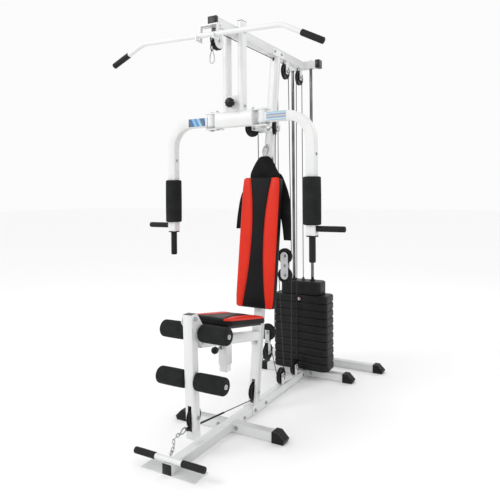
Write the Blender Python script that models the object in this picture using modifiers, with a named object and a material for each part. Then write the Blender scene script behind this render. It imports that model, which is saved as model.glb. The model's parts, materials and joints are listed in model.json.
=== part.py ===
"""Multi station home gym: a frame of square tube that carries a weight stack, a press frame with two butterfly
arms, a leg developer, a seat, a back pad, a lat bar and a low bar. Metres, +Z up, the user faces -Y."""

import math

import bmesh
import bpy
from mathutils import Matrix, Vector

# Driving dimensions. Y is measured back from the front end of the main beam.
MID_Y = 0.8935
TUBE = 0.050
WALL = 0.002
HALF = TUBE / 2
GAP = 0.0003
BEAM_Z = 0.0255
BEAM_TOP = BEAM_Z + HALF
BEAM_FRONT, BEAM_BACK = 0.003, 1.7337
FRONT_FOOT_Y, FRONT_FOOT_HALF = 0.519, 0.262
MIDDLE_FOOT_Y, MIDDLE_FOOT_HALF = 1.4815, 0.279
REAR_FOOT_Y, REAR_FOOT_HALF = 1.759, 0.397
FOOT_CAP = 0.068
UPRIGHT_LEAN = 0.15
UPRIGHT_FRONT = 0.745
TOP_Z = 2.087
TOP_UNDER = TOP_Z - HALF
TOP_FRONT, TOP_BACK = 0.3855, 1.4480
ROD_X, ROD_Y, ROD_RADIUS = 0.067, 1.470, 0.010
PLATE_COUNT, PLATE_PITCH, PLATE_GAP = 10, 0.0493, 0.0008
STACK_BOTTOM = 0.062
STACK_HALF_X, STACK_HALF_Y = 0.190, 0.075
HEAD_HEIGHT = 0.088
RIM, GROOVE, PULLEY_HALF, AXLE = 0.049, 0.0415, 0.009, 0.005
CABLE = 0.0025
WRAP = GROOVE + CABLE + 0.0004
TOP_PULLEY_Z = 2.000
FRONT_PULLEY_Y, REAR_PULLEY_1_Y, REAR_PULLEY_2_Y = 0.425, 1.215, ROD_Y - WRAP
BASE_PULLEY_Z, BASE_PULLEY_1_Y, BASE_PULLEY_2_Y = BEAM_TOP + RIM + 0.003, 1.120, 1.315
LOW_PULLEY = Vector((0, 0.7775, 0.118))
LEG_PULLEY = Vector((0, 0.203, 0.183))
BLOCK_A_TOP, BLOCK_A_LOW = Vector((0, 1.190, 0.834)), Vector((0, 1.190, 0.713))
BLOCK_B_TOP, BLOCK_B_LOW = Vector((0, 0.953, 0.410)), Vector((0, 0.947, 0.295))
SWIVEL_X, SWIVEL_Y, SWIVEL_Z = 0.0735, 0.9134, 1.612
SWIVEL_AIM = Vector((0.350, -0.937, 0)).normalized()
PRESS_Y, PRESS_X, PRESS_WIDTH = 0.597, 0.047, 0.030
CROSS_LOW, CROSS_HIGH, CROSS_HALF = 1.583, 1.663, 0.112
HINGE_X, HINGE_Y, BARREL = 0.160, 0.618, 0.028
ARM_X, ARM_Z, ARM_BEND, ARM_LOW = 0.430, 1.623, 0.130, 1.016
ARM_PAD_LOW, ARM_PAD_HIGH, ARM_PAD_RADIUS = 1.068, 1.308, 0.045
LEG_LEAN, LEG_PIVOT = -0.0412, Vector((0, 0.177, 0.648))
TOP_ROLLER, LOW_ROLLER = Vector((0, 0.222, 0.574)), Vector((0, 0.190, 0.357))
ROLLER_BAR, ROLLER = 0.011, 0.041
SEAT_SLOPE, SEAT_POST_Y, POST = -0.176, 0.481, 0.0414
PAD_SLOPE = -0.1545
LAT_Y, LAT_Z, LAT_TILT, LAT_RADIUS = 0.336, 2.005, math.radians(2.1), 0.0125
LOW_BAR = Vector((0, 0.0165, 0.0635))

PARTS = bpy.data.collections.new("home_gym")
HELPERS = bpy.data.collections.new("cutters")
WHITE, BLACK, RUBBER, RED = (0.86, 0.87, 0.86), (0.02, 0.02, 0.02), (0.015, 0.015, 0.015), (0.70, 0.05, 0.03)
CHROME, GREY = (0.75, 0.76, 0.78), (0.55, 0.56, 0.57)


def clear_scene():
    for old in list(bpy.data.objects):
        bpy.data.objects.remove(old)
    bpy.context.scene.collection.children.link(PARTS)
    bpy.context.scene.collection.children.link(HELPERS)


def finish(name, colour, roughness, metallic=0.0):
    made = bpy.data.materials.new(name)
    made.use_nodes = True
    shader = made.node_tree.nodes["Principled BSDF"]
    shader.inputs["Base Color"].default_value = (*colour, 1)
    shader.inputs["Roughness"].default_value = roughness
    shader.inputs["Metallic"].default_value = metallic
    return made


def painted(name):
    return finish(name, WHITE, 0.35)


def put(name, bm, material=None):
    """An object from a bmesh: a part where it has a material, and a hidden helper where it has none."""
    mesh = bpy.data.meshes.new(name)
    bm.to_mesh(mesh)
    bm.free()
    made = bpy.data.objects.new(name, mesh)
    if material:
        mesh.materials.append(material)
        PARTS.objects.link(made)
    else:
        made.hide_render = True
        made.display_type = "WIRE"
        HELPERS.objects.link(made)
    return made


def smooth(made):
    made.data.shade_smooth()
    made.data.set_sharp_from_angle(angle=math.radians(40))
    return made


def boolean(made, operation, *others):
    for other in others:
        step = made.modifiers.new(other.name, "BOOLEAN")
        step.operation = operation
        step.object = other
    return made


def join(made, *others):
    return boolean(made, "UNION", *others)


def cut(made, *others):
    return boolean(made, "DIFFERENCE", *others)


def box(name, low, high, material=None, bevel=0.0):
    bm = bmesh.new()
    low, high = Vector(low), Vector(high)
    bmesh.ops.create_cube(bm, size=1.0, matrix=Matrix.LocRotScale((low + high) / 2, None, high - low))
    made = put(name, bm, material)
    if bevel:
        edge = made.modifiers.new("edges", "BEVEL")
        edge.width = bevel
        edge.segments = 2
    return made


def rod(name, start, end, radius, material=None, segments=20):
    bm = bmesh.new()
    start, end = Vector(start), Vector(end)
    turn = (end - start).to_track_quat("Z", "Y")
    place = Matrix.LocRotScale((start + end) / 2, turn, None)
    bmesh.ops.create_cone(
        bm, cap_ends=True, segments=segments, radius1=radius, radius2=radius, depth=(
            end - start
        ).length, matrix=place
    )
    made = put(name, bm, material)
    return smooth(made) if material else made


def prism(name, outline, depth, material=None):
    """A flat outline of 3-D points, made as thick as the vector depth, half to each side."""
    bm = bmesh.new()
    depth = Vector(depth)
    face = bm.faces.new([bm.verts.new(Vector(point) - depth / 2) for point in outline])
    top = bmesh.ops.extrude_face_region(bm, geom=[face])["geom"]
    bmesh.ops.translate(bm, vec=depth, verts=[v for v in top if isinstance(v, bmesh.types.BMVert)])
    bmesh.ops.recalc_face_normals(bm, faces=bm.faces)
    return put(name, bm, material)


def side_plate(name, outline, x, thickness, material=None):
    """A plate that faces sideways, from (y, z) points."""
    return prism(name, [(x, y, z) for y, z in outline], (thickness, 0, 0), material)


def turned(name, profile, centre, axis, material=None, steps=20, closed=True):
    """A (radius, height) profile turned about the axis, which is a world direction."""
    bm = bmesh.new()
    corners = [bm.verts.new((radius, 0, height)) for radius, height in profile]
    for first, second in zip(corners, corners[1:]):
        bm.edges.new((first, second))
    if closed:
        bm.edges.new((corners[-1], corners[0]))
    made = put(name, bm, material)
    made.location = centre
    made.rotation_euler = Vector(axis).to_track_quat("Z", "Y").to_euler()
    screw = made.modifiers.new("turn", "SCREW")
    screw.steps = screw.render_steps = steps
    screw.use_merge_vertices = True
    screw.merge_threshold = 1e-5
    screw.use_smooth_shade = True
    return made


def knob_profile(radius, length, edge):
    """A round bar with chamfered ends, from its top down its outer side."""
    half = length / 2
    return [
        (0, half),
        (radius - edge, half),
        (radius, half - edge),
        (radius, edge - half),
        (radius - edge, -half),
        (0, -half),
    ]


def ring_profile(radius, bore, length, edge):
    half = length / 2
    outer = [(radius - edge, half), (radius, half - edge), (radius, edge - half), (radius - edge, -half)]
    return [(bore, half), *outer, (bore, -half)]


def solid_wire(name, points, radius, material=None, cyclic=False, sides=2):
    """A round wire through the points. As a helper it is a welded mesh, so that it can be joined."""
    data = bpy.data.curves.new(name, "CURVE")
    data.dimensions = "3D"
    data.bevel_depth = radius
    data.bevel_resolution = sides
    data.use_fill_caps = True
    spline = data.splines.new("POLY")
    spline.points.add(len(points) - 1)
    for point, place in zip(spline.points, points):
        point.co = (*place[:3], 1)
        point.radius = place[3] if len(place) > 3 else 1.0
    spline.use_cyclic_u = cyclic
    made = bpy.data.objects.new(name, data)
    if material:
        data.materials.append(material)
        PARTS.objects.link(made)
        return made
    HELPERS.objects.link(made)
    bpy.context.view_layer.update()
    mesh = bpy.data.meshes.new_from_object(made.evaluated_get(bpy.context.evaluated_depsgraph_get()))
    bpy.data.objects.remove(made)
    bm = bmesh.new()
    bm.from_mesh(mesh)
    bmesh.ops.remove_doubles(bm, verts=bm.verts, dist=1e-6)
    return put(name, bm)


# Sections of a tube: a square loop in the local XY plane, carried along by these placements.
def across_x(x, y, z):
    turn = Matrix(((0, 0, 1), (1, 0, 0), (0, 1, 0)))
    return Matrix.Translation((x, y, z)) @ turn.to_4x4()


def across_y(x, y, z):
    return Matrix.Translation((x, y, z)) @ Matrix.Rotation(math.pi / 2, 4, "X")


def across_z(x, y, z):
    return Matrix.Translation((x, y, z))


def tube(name, sections, material=None, width=TUBE, depth=TUBE, radius=0.004):
    """A hollow tube through the sections, with rounded corners."""
    bm = bmesh.new()
    loop = []
    for corner in range(4):
        sign_x, sign_y = ((1, 1), (-1, 1), (-1, -1), (1, -1))[corner]
        middle = Vector((sign_x * (width / 2 - radius), sign_y * (depth / 2 - radius), 0))
        for step in range(2):
            angle = math.pi / 2 * (corner + step)
            loop.append(bm.verts.new(middle + radius * Vector((math.cos(angle), math.sin(angle), 0))))
    edges = [bm.edges.new((a, b)) for a, b in zip(loop, loop[1:] + loop[:1])]
    bmesh.ops.transform(bm, matrix=sections[0], verts=bm.verts)
    for before, after in zip(sections, sections[1:]):
        made = bmesh.ops.extrude_edge_only(bm, edges=edges)["geom"]
        fresh = {v for v in made if isinstance(v, bmesh.types.BMVert)}
        bmesh.ops.transform(bm, matrix=after @ before.inverted(), verts=list(fresh))
        edges = [e for e in bm.edges if e.verts[0] in fresh and e.verts[1] in fresh]
    bmesh.ops.recalc_face_normals(bm, faces=bm.faces)
    made = put(name, bm, material)
    shell = made.modifiers.new("wall", "SOLIDIFY")
    shell.thickness = WALL
    shell.offset = -1
    return made


def pivot(name, place, *children):
    """An empty on a joint's axis, which carries the pieces that turn or slide there."""
    made = bpy.data.objects.new(name, None)
    made.location = place
    PARTS.objects.link(made)
    for child in children:
        child.parent = made
        child.matrix_parent_inverse = Matrix.Translation(-Vector(place))
    return made


def upright_front(z):
    return UPRIGHT_FRONT + UPRIGHT_LEAN * z


def foot_caps(name, y, half_length):
    """The rubber ends of a stabiliser, with a sloping outer side, and a drain hole beside each."""
    caps = []
    holes = []
    for side in (-1, 1):
        outline = [
            (-0.004, 0), (-0.004, 0.052), (0.002, 0.056), (0.030, 0.056), (FOOT_CAP, 0.018), (FOOT_CAP - 0.010, 0)
        ]
        points = [(side * (half_length + along), y, z) for along, z in outline]
        caps.append(prism(f"{name}_cap_{side}", points, (0, TUBE + 0.006, 0)))
        hole = side * (half_length - 0.030)
        holes.append(rod(f"{name}_hole_{side}", (hole, y, -0.01), (hole, y, 0.02), 0.004, segments=8))
    return caps, holes


def u_bracket(name, centre, top, low, half_y=0.016, inner=PULLEY_HALF + 0.0025):
    """Two cheeks and the axle bolt of a pulley that turns about X."""
    pieces = [rod(f"{name}_axle", (-0.024, *centre[1:]), (0.024, *centre[1:]), AXLE, segments=12)]
    for side in (-1, 1):
        x = side * (inner + 0.0015)
        outline = [
            (centre[1] - half_y, low),
            (centre[1] + half_y, low),
            (centre[1] + half_y, top),
            (centre[1] - half_y, top),
        ]
        pieces.append(side_plate(f"{name}_cheek_{side}", outline, x, 0.003))
    return pieces


def build_base():
    steel = painted("base_white")
    frame = tube("base_frame", [across_y(0, BEAM_FRONT, BEAM_Z), across_y(0, BEAM_BACK, BEAM_Z)], steel)
    holes = []
    for name, y, half in (("front", FRONT_FOOT_Y, FRONT_FOOT_HALF), ("middle", MIDDLE_FOOT_Y, MIDDLE_FOOT_HALF)):
        for side in (-1, 1):
            ends = [across_x(side * (HALF - 0.001), y, BEAM_Z), across_x(side * half, y, BEAM_Z)]
            join(frame, tube(f"{name}_stub_{side}", ends))
        caps, drains = foot_caps(name, y, half)
        join(frame, *caps)
        holes += drains
    join(frame, box("foot_plate", (-0.1465, 0, 0), (0.1465, 0.1055, 0.004)))
    for name, y in (("base_1", BASE_PULLEY_1_Y), ("base_2", BASE_PULLEY_2_Y)):
        join(frame, *u_bracket(name, (0, y, BASE_PULLEY_Z), BASE_PULLEY_Z + 0.014, BEAM_TOP - 0.001))
    cut(frame, *holes)

    ends = [across_x(-REAR_FOOT_HALF, REAR_FOOT_Y, BEAM_Z), across_x(REAR_FOOT_HALF, REAR_FOOT_Y, BEAM_Z)]
    rear = tube("rear_stabilizer", ends, painted("rear_white"))
    caps, drains = foot_caps("rear", REAR_FOOT_Y, REAR_FOOT_HALF)
    cut(join(rear, *caps), *drains)


def saddle(name, y_low, y_high, plate_far, plate_near, cheek_end):
    """A U of plate round a beam: its web, from plate_far to plate_near, and two cheeks that run to cheek_end."""
    outer, inner = HALF + 0.0035, HALF + GAP
    across = [(-outer, plate_far), (outer, plate_far), (outer, cheek_end), (inner, cheek_end), (inner, plate_near)]
    across += [(-inner, plate_near), (-inner, cheek_end), (-outer, cheek_end)]
    middle = (y_low + y_high) / 2
    return prism(name, [(x, middle, z) for x, z in across], (0, y_high - y_low, 0))


def build_upright():
    low, high = BEAM_TOP + 0.002, TOP_UNDER - 0.001
    middle = HALF + UPRIGHT_FRONT
    ends = [across_z(0, middle + UPRIGHT_LEAN * z, z) for z in (low, high)]
    upright = tube("upright", ends, painted("upright_white"))
    join(upright, saddle("foot", 0.715, 0.895, BEAM_TOP + 0.0037, BEAM_TOP + GAP, 0.006))
    join(upright, saddle("head", 0.995, 1.135, TOP_UNDER - 0.0041, TOP_UNDER - GAP, TOP_UNDER + 0.034))
    slot = box("low_slot", (-PULLEY_HALF - 0.0015, 0.70, 0.058), (PULLEY_HALF + 0.0015, 0.86, 0.186))
    window = box("cable_window", (-0.006, 1.00, 2.034), (0.006, 1.15, 2.0545))
    cut(upright, slot, window)
    join(upright, rod("low_axle", (-0.030, *LOW_PULLEY[1:]), (0.030, *LOW_PULLEY[1:]), AXLE, segments=12))


def build_top():
    ends = [across_y(0, TOP_FRONT, TOP_Z), across_y(0, TOP_BACK, TOP_Z)]
    beam = tube("top_beam", ends, painted("top_white"))
    for side in (-1, 1):
        x = side * (PULLEY_HALF + 0.004)
        centre = (FRONT_PULLEY_Y, TOP_PULLEY_Z)
        disc = rod(f"front_disc_{side}", (x - 0.0015, *centre), (x + 0.0015, *centre), 0.042, segments=16)
        neck = [(0.397, 2.020), (0.453, 2.020), (0.453, TOP_UNDER + 0.001), (0.397, TOP_UNDER + 0.001)]
        join(beam, disc, side_plate(f"front_neck_{side}", neck, x, 0.003))
    join(beam, rod("front_axle", (-0.026, *centre), (0.026, *centre), AXLE, segments=12))
    for name, y in (("rear_1", REAR_PULLEY_1_Y), ("rear_2", REAR_PULLEY_2_Y)):
        join(beam, *u_bracket(name, (0, y, TOP_PULLEY_Z), TOP_UNDER + 0.001, TOP_PULLEY_Z - 0.016))
    join(beam, box("cradle_web", (-0.052, 0.3505, TOP_UNDER - 0.004), (0.052, 0.4000, TOP_UNDER + 0.0015)))
    back, under, tip = LAT_Y + LAT_RADIUS + 0.002, LAT_Z - LAT_RADIUS - 0.0025, LAT_Y - LAT_RADIUS - 0.003
    hook = [(0.372, TOP_UNDER), (back, TOP_UNDER), (back, under), (tip, under), (tip, LAT_Z), (tip - 0.009, LAT_Z)]
    hook += [(tip - 0.009, under - 0.012), (0.366, under - 0.012)]
    for side in (-1, 1):
        join(beam, side_plate(f"cradle_hook_{side}", hook, side * 0.050, 0.004))
    cut(beam, rod("press_bore", (-0.03, PRESS_Y, TOP_Z), (0.03, PRESS_Y, TOP_Z), 0.0083, segments=12))

    length = 0.1105
    ends = [across_x(-length, ROD_Y + 0.0013, TOP_Z), across_x(length, ROD_Y + 0.0013, TOP_Z)]
    cross = tube("rear_cross_tube", ends)
    for side in (-1, 1):
        low, high = sorted((side * (length - 0.003), side * (length + 0.025)))
        wide = HALF + 0.0012
        centre = ROD_Y + 0.0013
        join(
            cross,
            box(
                f"cross_cap_{side}",
                (low, centre - HALF + 0.0006, TOP_Z - wide),
                (high, centre + wide, TOP_Z + wide),
            ),
        )
    for side in (-1, 1):
        x = side * ROD_X
        cut(cross, rod(f"rod_hole_{side}", (x, ROD_Y, 2.04), (x, ROD_Y, 2.08), ROD_RADIUS + GAP, segments=16))
    join(beam, cross)


def plate_of_stack(name, low, high, half_x, half_y, material, groove=True):
    """A weight with rounded corners, bores for the guide rods and the stem, and a selector groove in front."""
    made = box(name, (-half_x, ROD_Y - half_y, low), (half_x, ROD_Y + half_y, high), material)
    bores = []
    for x, radius in ((-ROD_X, ROD_RADIUS + 0.0006), (ROD_X, ROD_RADIUS + 0.0006), (0, 0.0112)):
        bores.append(rod(f"{name}_bore_{x}", (x, ROD_Y, low - 0.02), (x, ROD_Y, high + 0.02), radius, segments=12))
    if groove:
        front = ROD_Y - half_y
        bores.append(
            box(f"{name}_groove", (-0.020, front - 0.01, low - 0.01), (0.020, front + 0.012, high + 0.01))
        )
    for x_sign in (-1, 1):
        for y_sign in (-1, 1):
            corner = Vector((x_sign * half_x, ROD_Y + y_sign * half_y, 0))
            inward = Vector((-x_sign, -y_sign, 0)) * 0.022
            points = [corner - inward * 0.2, corner + Vector((inward.x, 0, 0)) - Vector((0, inward.y * 0.2, 0))]
            points += [corner + Vector((0, inward.y, 0)) - Vector((inward.x * 0.2, 0, 0))]
            depth = high - low + 0.02
            lifted = [p + Vector((0, 0, (low + high) / 2)) for p in points]
            bores.append(prism(f"{name}_corner_{x_sign}_{y_sign}", lifted, (0, 0, depth)))
    return cut(made, *bores)


def build_stack():
    chrome = finish("rod_chrome", CHROME, 0.15, 1.0)
    for name, side in (("guide_rod_left", -1), ("guide_rod_right", 1)):
        x = side * ROD_X
        rod(name, (x, ROD_Y, BEAM_TOP + GAP), (x, ROD_Y, 2.0795), ROD_RADIUS, chrome, segments=16)
    iron = finish("weight_black", BLACK, 0.5)
    split = STACK_BOTTOM + (PLATE_COUNT - 1) * PLATE_PITCH
    top = split + PLATE_PITCH
    plate_of_stack("weight_plates", STACK_BOTTOM, split - PLATE_GAP, STACK_HALF_X, STACK_HALF_Y, iron)
    upper = plate_of_stack("top_weight_plate", split, top - PLATE_GAP, STACK_HALF_X, STACK_HALF_Y, iron)
    pin_z = split + PLATE_PITCH * 0.45
    pin_y = ROD_Y - STACK_HALF_Y + 0.012
    cut(upper, rod("pin_bore", (0, pin_y - 0.01, pin_z), (0, ROD_Y, pin_z), 0.0043, segments=10))
    head = plate_of_stack(
        "head_plate", top, top + HEAD_HEIGHT, 0.140, 0.062, finish("head_black", BLACK, 0.4), False
    )
    stem = rod("stem", (0, ROD_Y, 0.100), (0, ROD_Y, top + HEAD_HEIGHT + 0.012), 0.0106, segments=12)
    collar = rod("stem_collar", (0, ROD_Y, top + 0.02), (0, ROD_Y, top + 0.06), 0.016, segments=12)
    join(head, stem, collar)
    cut(head, rod("stem_bore", (0, ROD_Y - 0.02, pin_z), (0, ROD_Y + 0.02, pin_z), 0.0043, segments=10))
    profile = [(0, 0.030), (0.004, 0.030), (0.004, -0.030), (0.0105, -0.030), (0.0105, -0.041), (0, -0.041)]
    place = (0, pin_y + 0.0295, pin_z)
    pin = turned("selector_pin", profile, place, (0, 1, 0), finish("pin_chrome", CHROME, 0.2, 1.0), 12, False)
    pivot("weight_stack_slide", (0, ROD_Y, top), upper, head)
    pivot("selector_pin_slide", place, pin)


def build_seat():
    def middle(y):
        return 0.529 + SEAT_SLOPE * (y - 0.206)

    front, back = 0.236, 0.8040
    support = tube("seat_support", [across_y(0, y, middle(y)) for y in (front, back)], painted("seat_white"))
    post_low, post_high = SEAT_POST_Y - HALF, SEAT_POST_Y + HALF
    join(
        support,
        box("sleeve", (-HALF + 0.0004, post_low, 0.353), (HALF - 0.0004, post_high, middle(post_low) + 0.028)),
    )
    join(support, box("front_block", (-0.0286, front - 0.0013, 0.5035), (0.0286, 0.2606, 0.540)))
    foot = [(upright_front(z) - off, z) for z, off in ((0.372, 0.0055), (0.372, 0.0005), (0.532, 0.0005), (0.532, 0.0055))]
    join(support, side_plate("end_plate", foot, 0, 0.0508))
    ear = [
        (0.150, 0.632),
        (0.160, 0.668),
        (0.196, 0.668),
        (0.247, 0.600),
        (0.262, 0.505),
        (0.236, 0.505),
        (0.200, 0.560),
    ]
    for side in (-1, 1):
        join(support, side_plate(f"ear_{side}", ear, side * 0.0275, 0.004))
    bore = POST / 2 + GAP
    cut(support, box("sleeve_bore", (-bore, SEAT_POST_Y - bore, 0.34), (bore, SEAT_POST_Y + bore, 0.56)))
    cut(support, rod("seat_pin_bore", (0, 0.44, 0.446), (0, 0.47, 0.446), 0.0064, segments=12))
    cut(
        support,
        rod("roller_bore", (-0.04, *TOP_ROLLER[1:]), (0.04, *TOP_ROLLER[1:]), ROLLER_BAR + GAP, segments=16),
    )
    cut(support, rod("pivot_bore", (-0.04, *LEG_PIVOT[1:]), (0.04, *LEG_PIVOT[1:]), 0.0063, segments=12))

    def pad_z(y, under=0.0):
        return 0.628 + PAD_SLOPE * (y - 0.312) - under

    edge = POST / 2
    post = box(
        "seat_post",
        (-edge, SEAT_POST_Y - edge, 0.318),
        (edge, SEAT_POST_Y + edge, 0.560),
        finish("post_black", BLACK, 0.5),
    )
    board = [
        (0.330, pad_z(0.330, 0.0353)),
        (0.650, pad_z(0.650, 0.0353)),
        (0.650, pad_z(0.650, 0.046)),
        (0.330, pad_z(0.330, 0.046)),
    ]
    join(post, side_plate("seat_board", board, 0, 0.240))
    outline = [
        (0.312, pad_z(0.312)), (0.668, pad_z(0.668)), (0.668, pad_z(0.668, 0.035)), (0.312, pad_z(0.312, 0.035))
    ]
    pad = side_plate("seat_pad", outline, 0, 0.270, finish("seat_red", RED, 0.4))
    corners = pad.modifiers.new("corners", "BEVEL")
    corners.width = 0.012
    corners.segments = 2
    pivot("seat_height", (0, SEAT_POST_Y, 0.353), post, pad)
    profile = [
        (0, 0.0425),
        (0.006, 0.0425),
        (0.006, -0.012),
        (0.018, -0.012),
        (0.018, -0.040),
        (0.014, -0.044),
        (0, -0.044),
    ]
    place = (0, 0.4172, 0.446)
    pivot(
        "seat_pin_slide",
        place,
        turned("seat_pin", profile, place, (0, 1, 0), finish("seat_pin_black", BLACK, 0.4), 16, False),
    )


def build_back():
    low, high = 0.580, 1.313
    outline = [
        (0.7783, low), (0.880, high), (upright_front(high) - 0.0111, high), (upright_front(low) - 0.0111, low)
    ]
    pad = side_plate("back_pad", outline, 0, 0.234, finish("back_red", RED, 0.4))
    corners = pad.modifiers.new("corners", "BEVEL")
    corners.width = 0.012
    corners.segments = 2
    low, high = 0.590, 1.303
    outline = [(upright_front(low) - 0.0108, low), (upright_front(high) - 0.0108, high)]
    outline += [(upright_front(high) - 0.0005, high), (upright_front(low) - 0.0005, low)]
    side_plate("back_board", outline, 0, 0.205, finish("board_black", BLACK, 0.7))


def strip(name, rows, thickness, material=None):
    """A strap through rows of (height, left x, right x, y)."""
    bm = bmesh.new()
    z, left, right, y = rows[0]
    edge = bm.edges.new((bm.verts.new((left, y, z)), bm.verts.new((right, y, z))))
    for z, left, right, y in rows[1:]:
        made = bmesh.ops.extrude_edge_only(bm, edges=[edge])["geom"]
        ends = sorted((v for v in made if isinstance(v, bmesh.types.BMVert)), key=lambda v: v.co.x)
        ends[0].co = (left, y, z)
        ends[1].co = (right, y, z)
        edge = bm.edges.get(ends)
    bmesh.ops.recalc_face_normals(bm, faces=bm.faces)
    made = put(name, bm, material)
    shell = made.modifiers.new("cloth", "SOLIDIFY")
    shell.thickness = thickness
    shell.offset = 0
    return made


def build_ab_strap():
    """The hanging strap: a flap in front of the upright and two legs that hang behind the back pad."""
    flap = [(1.470, -0.018, 0.018, 0.0055), (1.400, -0.062, 0.056, 0.0085), (1.326, -0.096, 0.096, 0.0055)]
    rows = [(z, left, right, upright_front(z) - off) for z, left, right, off in flap]
    strap = strip("ab_strap", rows, 0.006, finish("strap_black", BLACK, 0.85))
    for side, drop in ((-1, 0.06), (1, 0.0)):
        rows = [
            (1.346, 0.020, 0.085, upright_front(1.346) - 0.0062),
            (1.320, 0.036, 0.110, upright_front(1.320) + 0.0045),
        ]
        hang = ((1.20 + drop / 2, 0.078, 0.160), (1.06 + drop, 0.118, 0.178), (0.96 + drop, 0.138, 0.182))
        for z, near, far in hang:
            rows.append((z, near, far, upright_front(z) + 0.0045))
        rows = [(z, *sorted((side * near, side * far)), y) for z, near, far, y in rows]
        join(strap, strip(f"strap_leg_{side}", rows, 0.006))


def build_press():
    cross_z = (CROSS_LOW + CROSS_HIGH) / 2
    ends = [across_x(-CROSS_HALF, PRESS_Y, cross_z), across_x(CROSS_HALF, PRESS_Y, cross_z)]
    press = tube("press_frame", ends, painted("press_white"), depth=CROSS_HIGH - CROSS_LOW)
    for side in (-1, 1):
        ends = [across_z(side * PRESS_X, PRESS_Y, z) for z in (CROSS_HIGH - 0.001, 2.135)]
        join(press, tube(f"press_tube_{side}", ends, width=PRESS_WIDTH))
    join(press, box("lock_plate", (-0.036, 0.5725, CROSS_HIGH - 0.001), (0.036, 0.5775, 1.745)))
    for side in (-1, 1):
        low, high = sorted((side * 0.100, side * 0.190))
        for part, z in (("low", CROSS_LOW - 0.006), ("high", CROSS_HIGH - 0.001)):
            join(
                press, box(f"bracket_{part}_{side}", (low, HINGE_Y - 0.030, z), (high, HINGE_Y + 0.030, z + 0.007))
            )
        cut(
            press,
            rod(
                f"pin_bore_{side}",
                (side * HINGE_X, HINGE_Y, 1.56),
                (side * HINGE_X, HINGE_Y, 1.69),
                0.0063,
                segments=16,
            ),
        )
    cut(press, rod("axle_bore", (-0.07, PRESS_Y, TOP_Z), (0.07, PRESS_Y, TOP_Z), 0.0083, segments=12))
    cut(press, rod("lock_bore", (0, 0.56, 1.705), (0, 0.59, 1.705), 0.0064, segments=12))
    profile = [
        (0, 0.070),
        (0.013, 0.070),
        (0.013, 0.0625),
        (0.008, 0.0625),
        (0.008, -0.0625),
        (0.013, -0.0625),
        (0.013, -0.070),
        (0, -0.070),
    ]
    turned(
        "press_axle", profile, (0, PRESS_Y, TOP_Z), (1, 0, 0), finish("axle_zinc", CHROME, 0.35, 1.0), 16, False
    )
    profile = [
        (0, 0.045),
        (0.006, 0.045),
        (0.006, -0.007),
        (0.016, -0.007),
        (0.026, -0.017),
        (0.026, -0.040),
        (0.018, -0.050),
        (0, -0.050),
    ]
    place = (0, 0.5765, 1.705)
    knob = turned("lock_knob", profile, place, (0, 1, 0), finish("knob_black", BLACK, 0.35), 16, False)
    pivot("lock_knob_slide", place, knob)
    pivot("press_swing", (0, PRESS_Y, TOP_Z), press)


def build_arm(name, side):
    """One butterfly arm: out from its hinge barrel, round a bend and down to the pad and the grips."""
    start, bend = HINGE_X + 0.018, ARM_X - ARM_BEND
    sections = [across_x(side * start, HINGE_Y, ARM_Z), across_x(side * bend, HINGE_Y, ARM_Z)]
    centre = Matrix.Translation((side * bend, HINGE_Y, ARM_Z - ARM_BEND))
    for step in range(1, 7):
        turn = Matrix.Rotation(side * math.radians(15 * step), 4, "Y")
        sections.append(centre @ turn @ centre.inverted() @ sections[1])
    sections.append(Matrix.Translation((0, 0, ARM_LOW - (ARM_Z - ARM_BEND))) @ sections[-1])
    arm = tube(f"butterfly_arm_{name}", sections, painted(f"arm_white_{name}"))
    hinge = Vector((side * HINGE_X, HINGE_Y, 0))
    low, high = CROSS_LOW + 0.0015, CROSS_HIGH - 0.0015
    join(
        arm, rod(f"barrel_{name}", hinge + Vector((0, 0, low)), hinge + Vector((0, 0, high)), BARREL, segments=16)
    )
    cut(
        arm,
        rod(
            f"barrel_bore_{name}", hinge + Vector((0, 0, 1.56)), hinge + Vector((0, 0, 1.69)), 0.0064, segments=12
        ),
    )

    foam = finish(f"arm_foam_{name}", RUBBER, 0.9)
    length = ARM_PAD_HIGH - ARM_PAD_LOW
    place = (side * ARM_X, HINGE_Y, (ARM_PAD_LOW + ARM_PAD_HIGH) / 2)
    pad = turned(f"arm_pad_{name}", knob_profile(ARM_PAD_RADIUS, length, 0.004), place, (0, 0, 1), foam, 16, False)
    fit = HALF + GAP
    inside = box(
        f"pad_core_{name}", (side * ARM_X - fit, HINGE_Y - fit, ARM_PAD_LOW - 0.01), (
            side * ARM_X + fit, HINGE_Y + fit, ARM_PAD_HIGH + 0.01
        )
    )
    cut(pad, inside)
    rubber = finish(f"grip_rubber_{name}", RUBBER, 0.7)
    place = (side * ARM_X, HINGE_Y, 0.946)
    profile = [
        (0, 0.0690),
        (0.031, 0.0690),
        (0.031, 0.0640),
        (0.0165, 0.0640),
        (0.0165, -0.061),
        (0.0125, -0.065),
        (0, -0.065),
    ]
    grip = turned(f"arm_grip_{name}", profile, place, (0, 0, 1), rubber, 12, False)
    near, far = ARM_X + HALF + GAP, 0.602
    place = (side * (near + far) / 2, HINGE_Y, 1.0495)
    handle = turned(
        f"side_handle_{name}", knob_profile(0.0145, far - near, 0.003), place, (side, 0, 0), rubber, 20, False
    )
    half = (CROSS_HIGH - CROSS_LOW) / 2 + 0.0065
    head = half + 0.006
    profile = [
        (0, head),
        (0.011, head),
        (0.011, half),
        (0.006, half),
        (0.006, -half),
        (0.011, -half),
        (0.011, -head),
        (0, -head),
    ]
    middle = (CROSS_HIGH + CROSS_LOW) / 2
    turned(
        f"hinge_pin_{name}",
        profile,
        hinge + Vector((0, 0, middle)),
        (0, 0, 1),
        finish(f"pin_zinc_{name}", CHROME, 0.3, 1.0),
        16,
        False,
    )
    pivot(f"arm_swing_{name}", hinge + Vector((0, 0, ARM_Z)), arm, pad, grip, handle)


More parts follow.
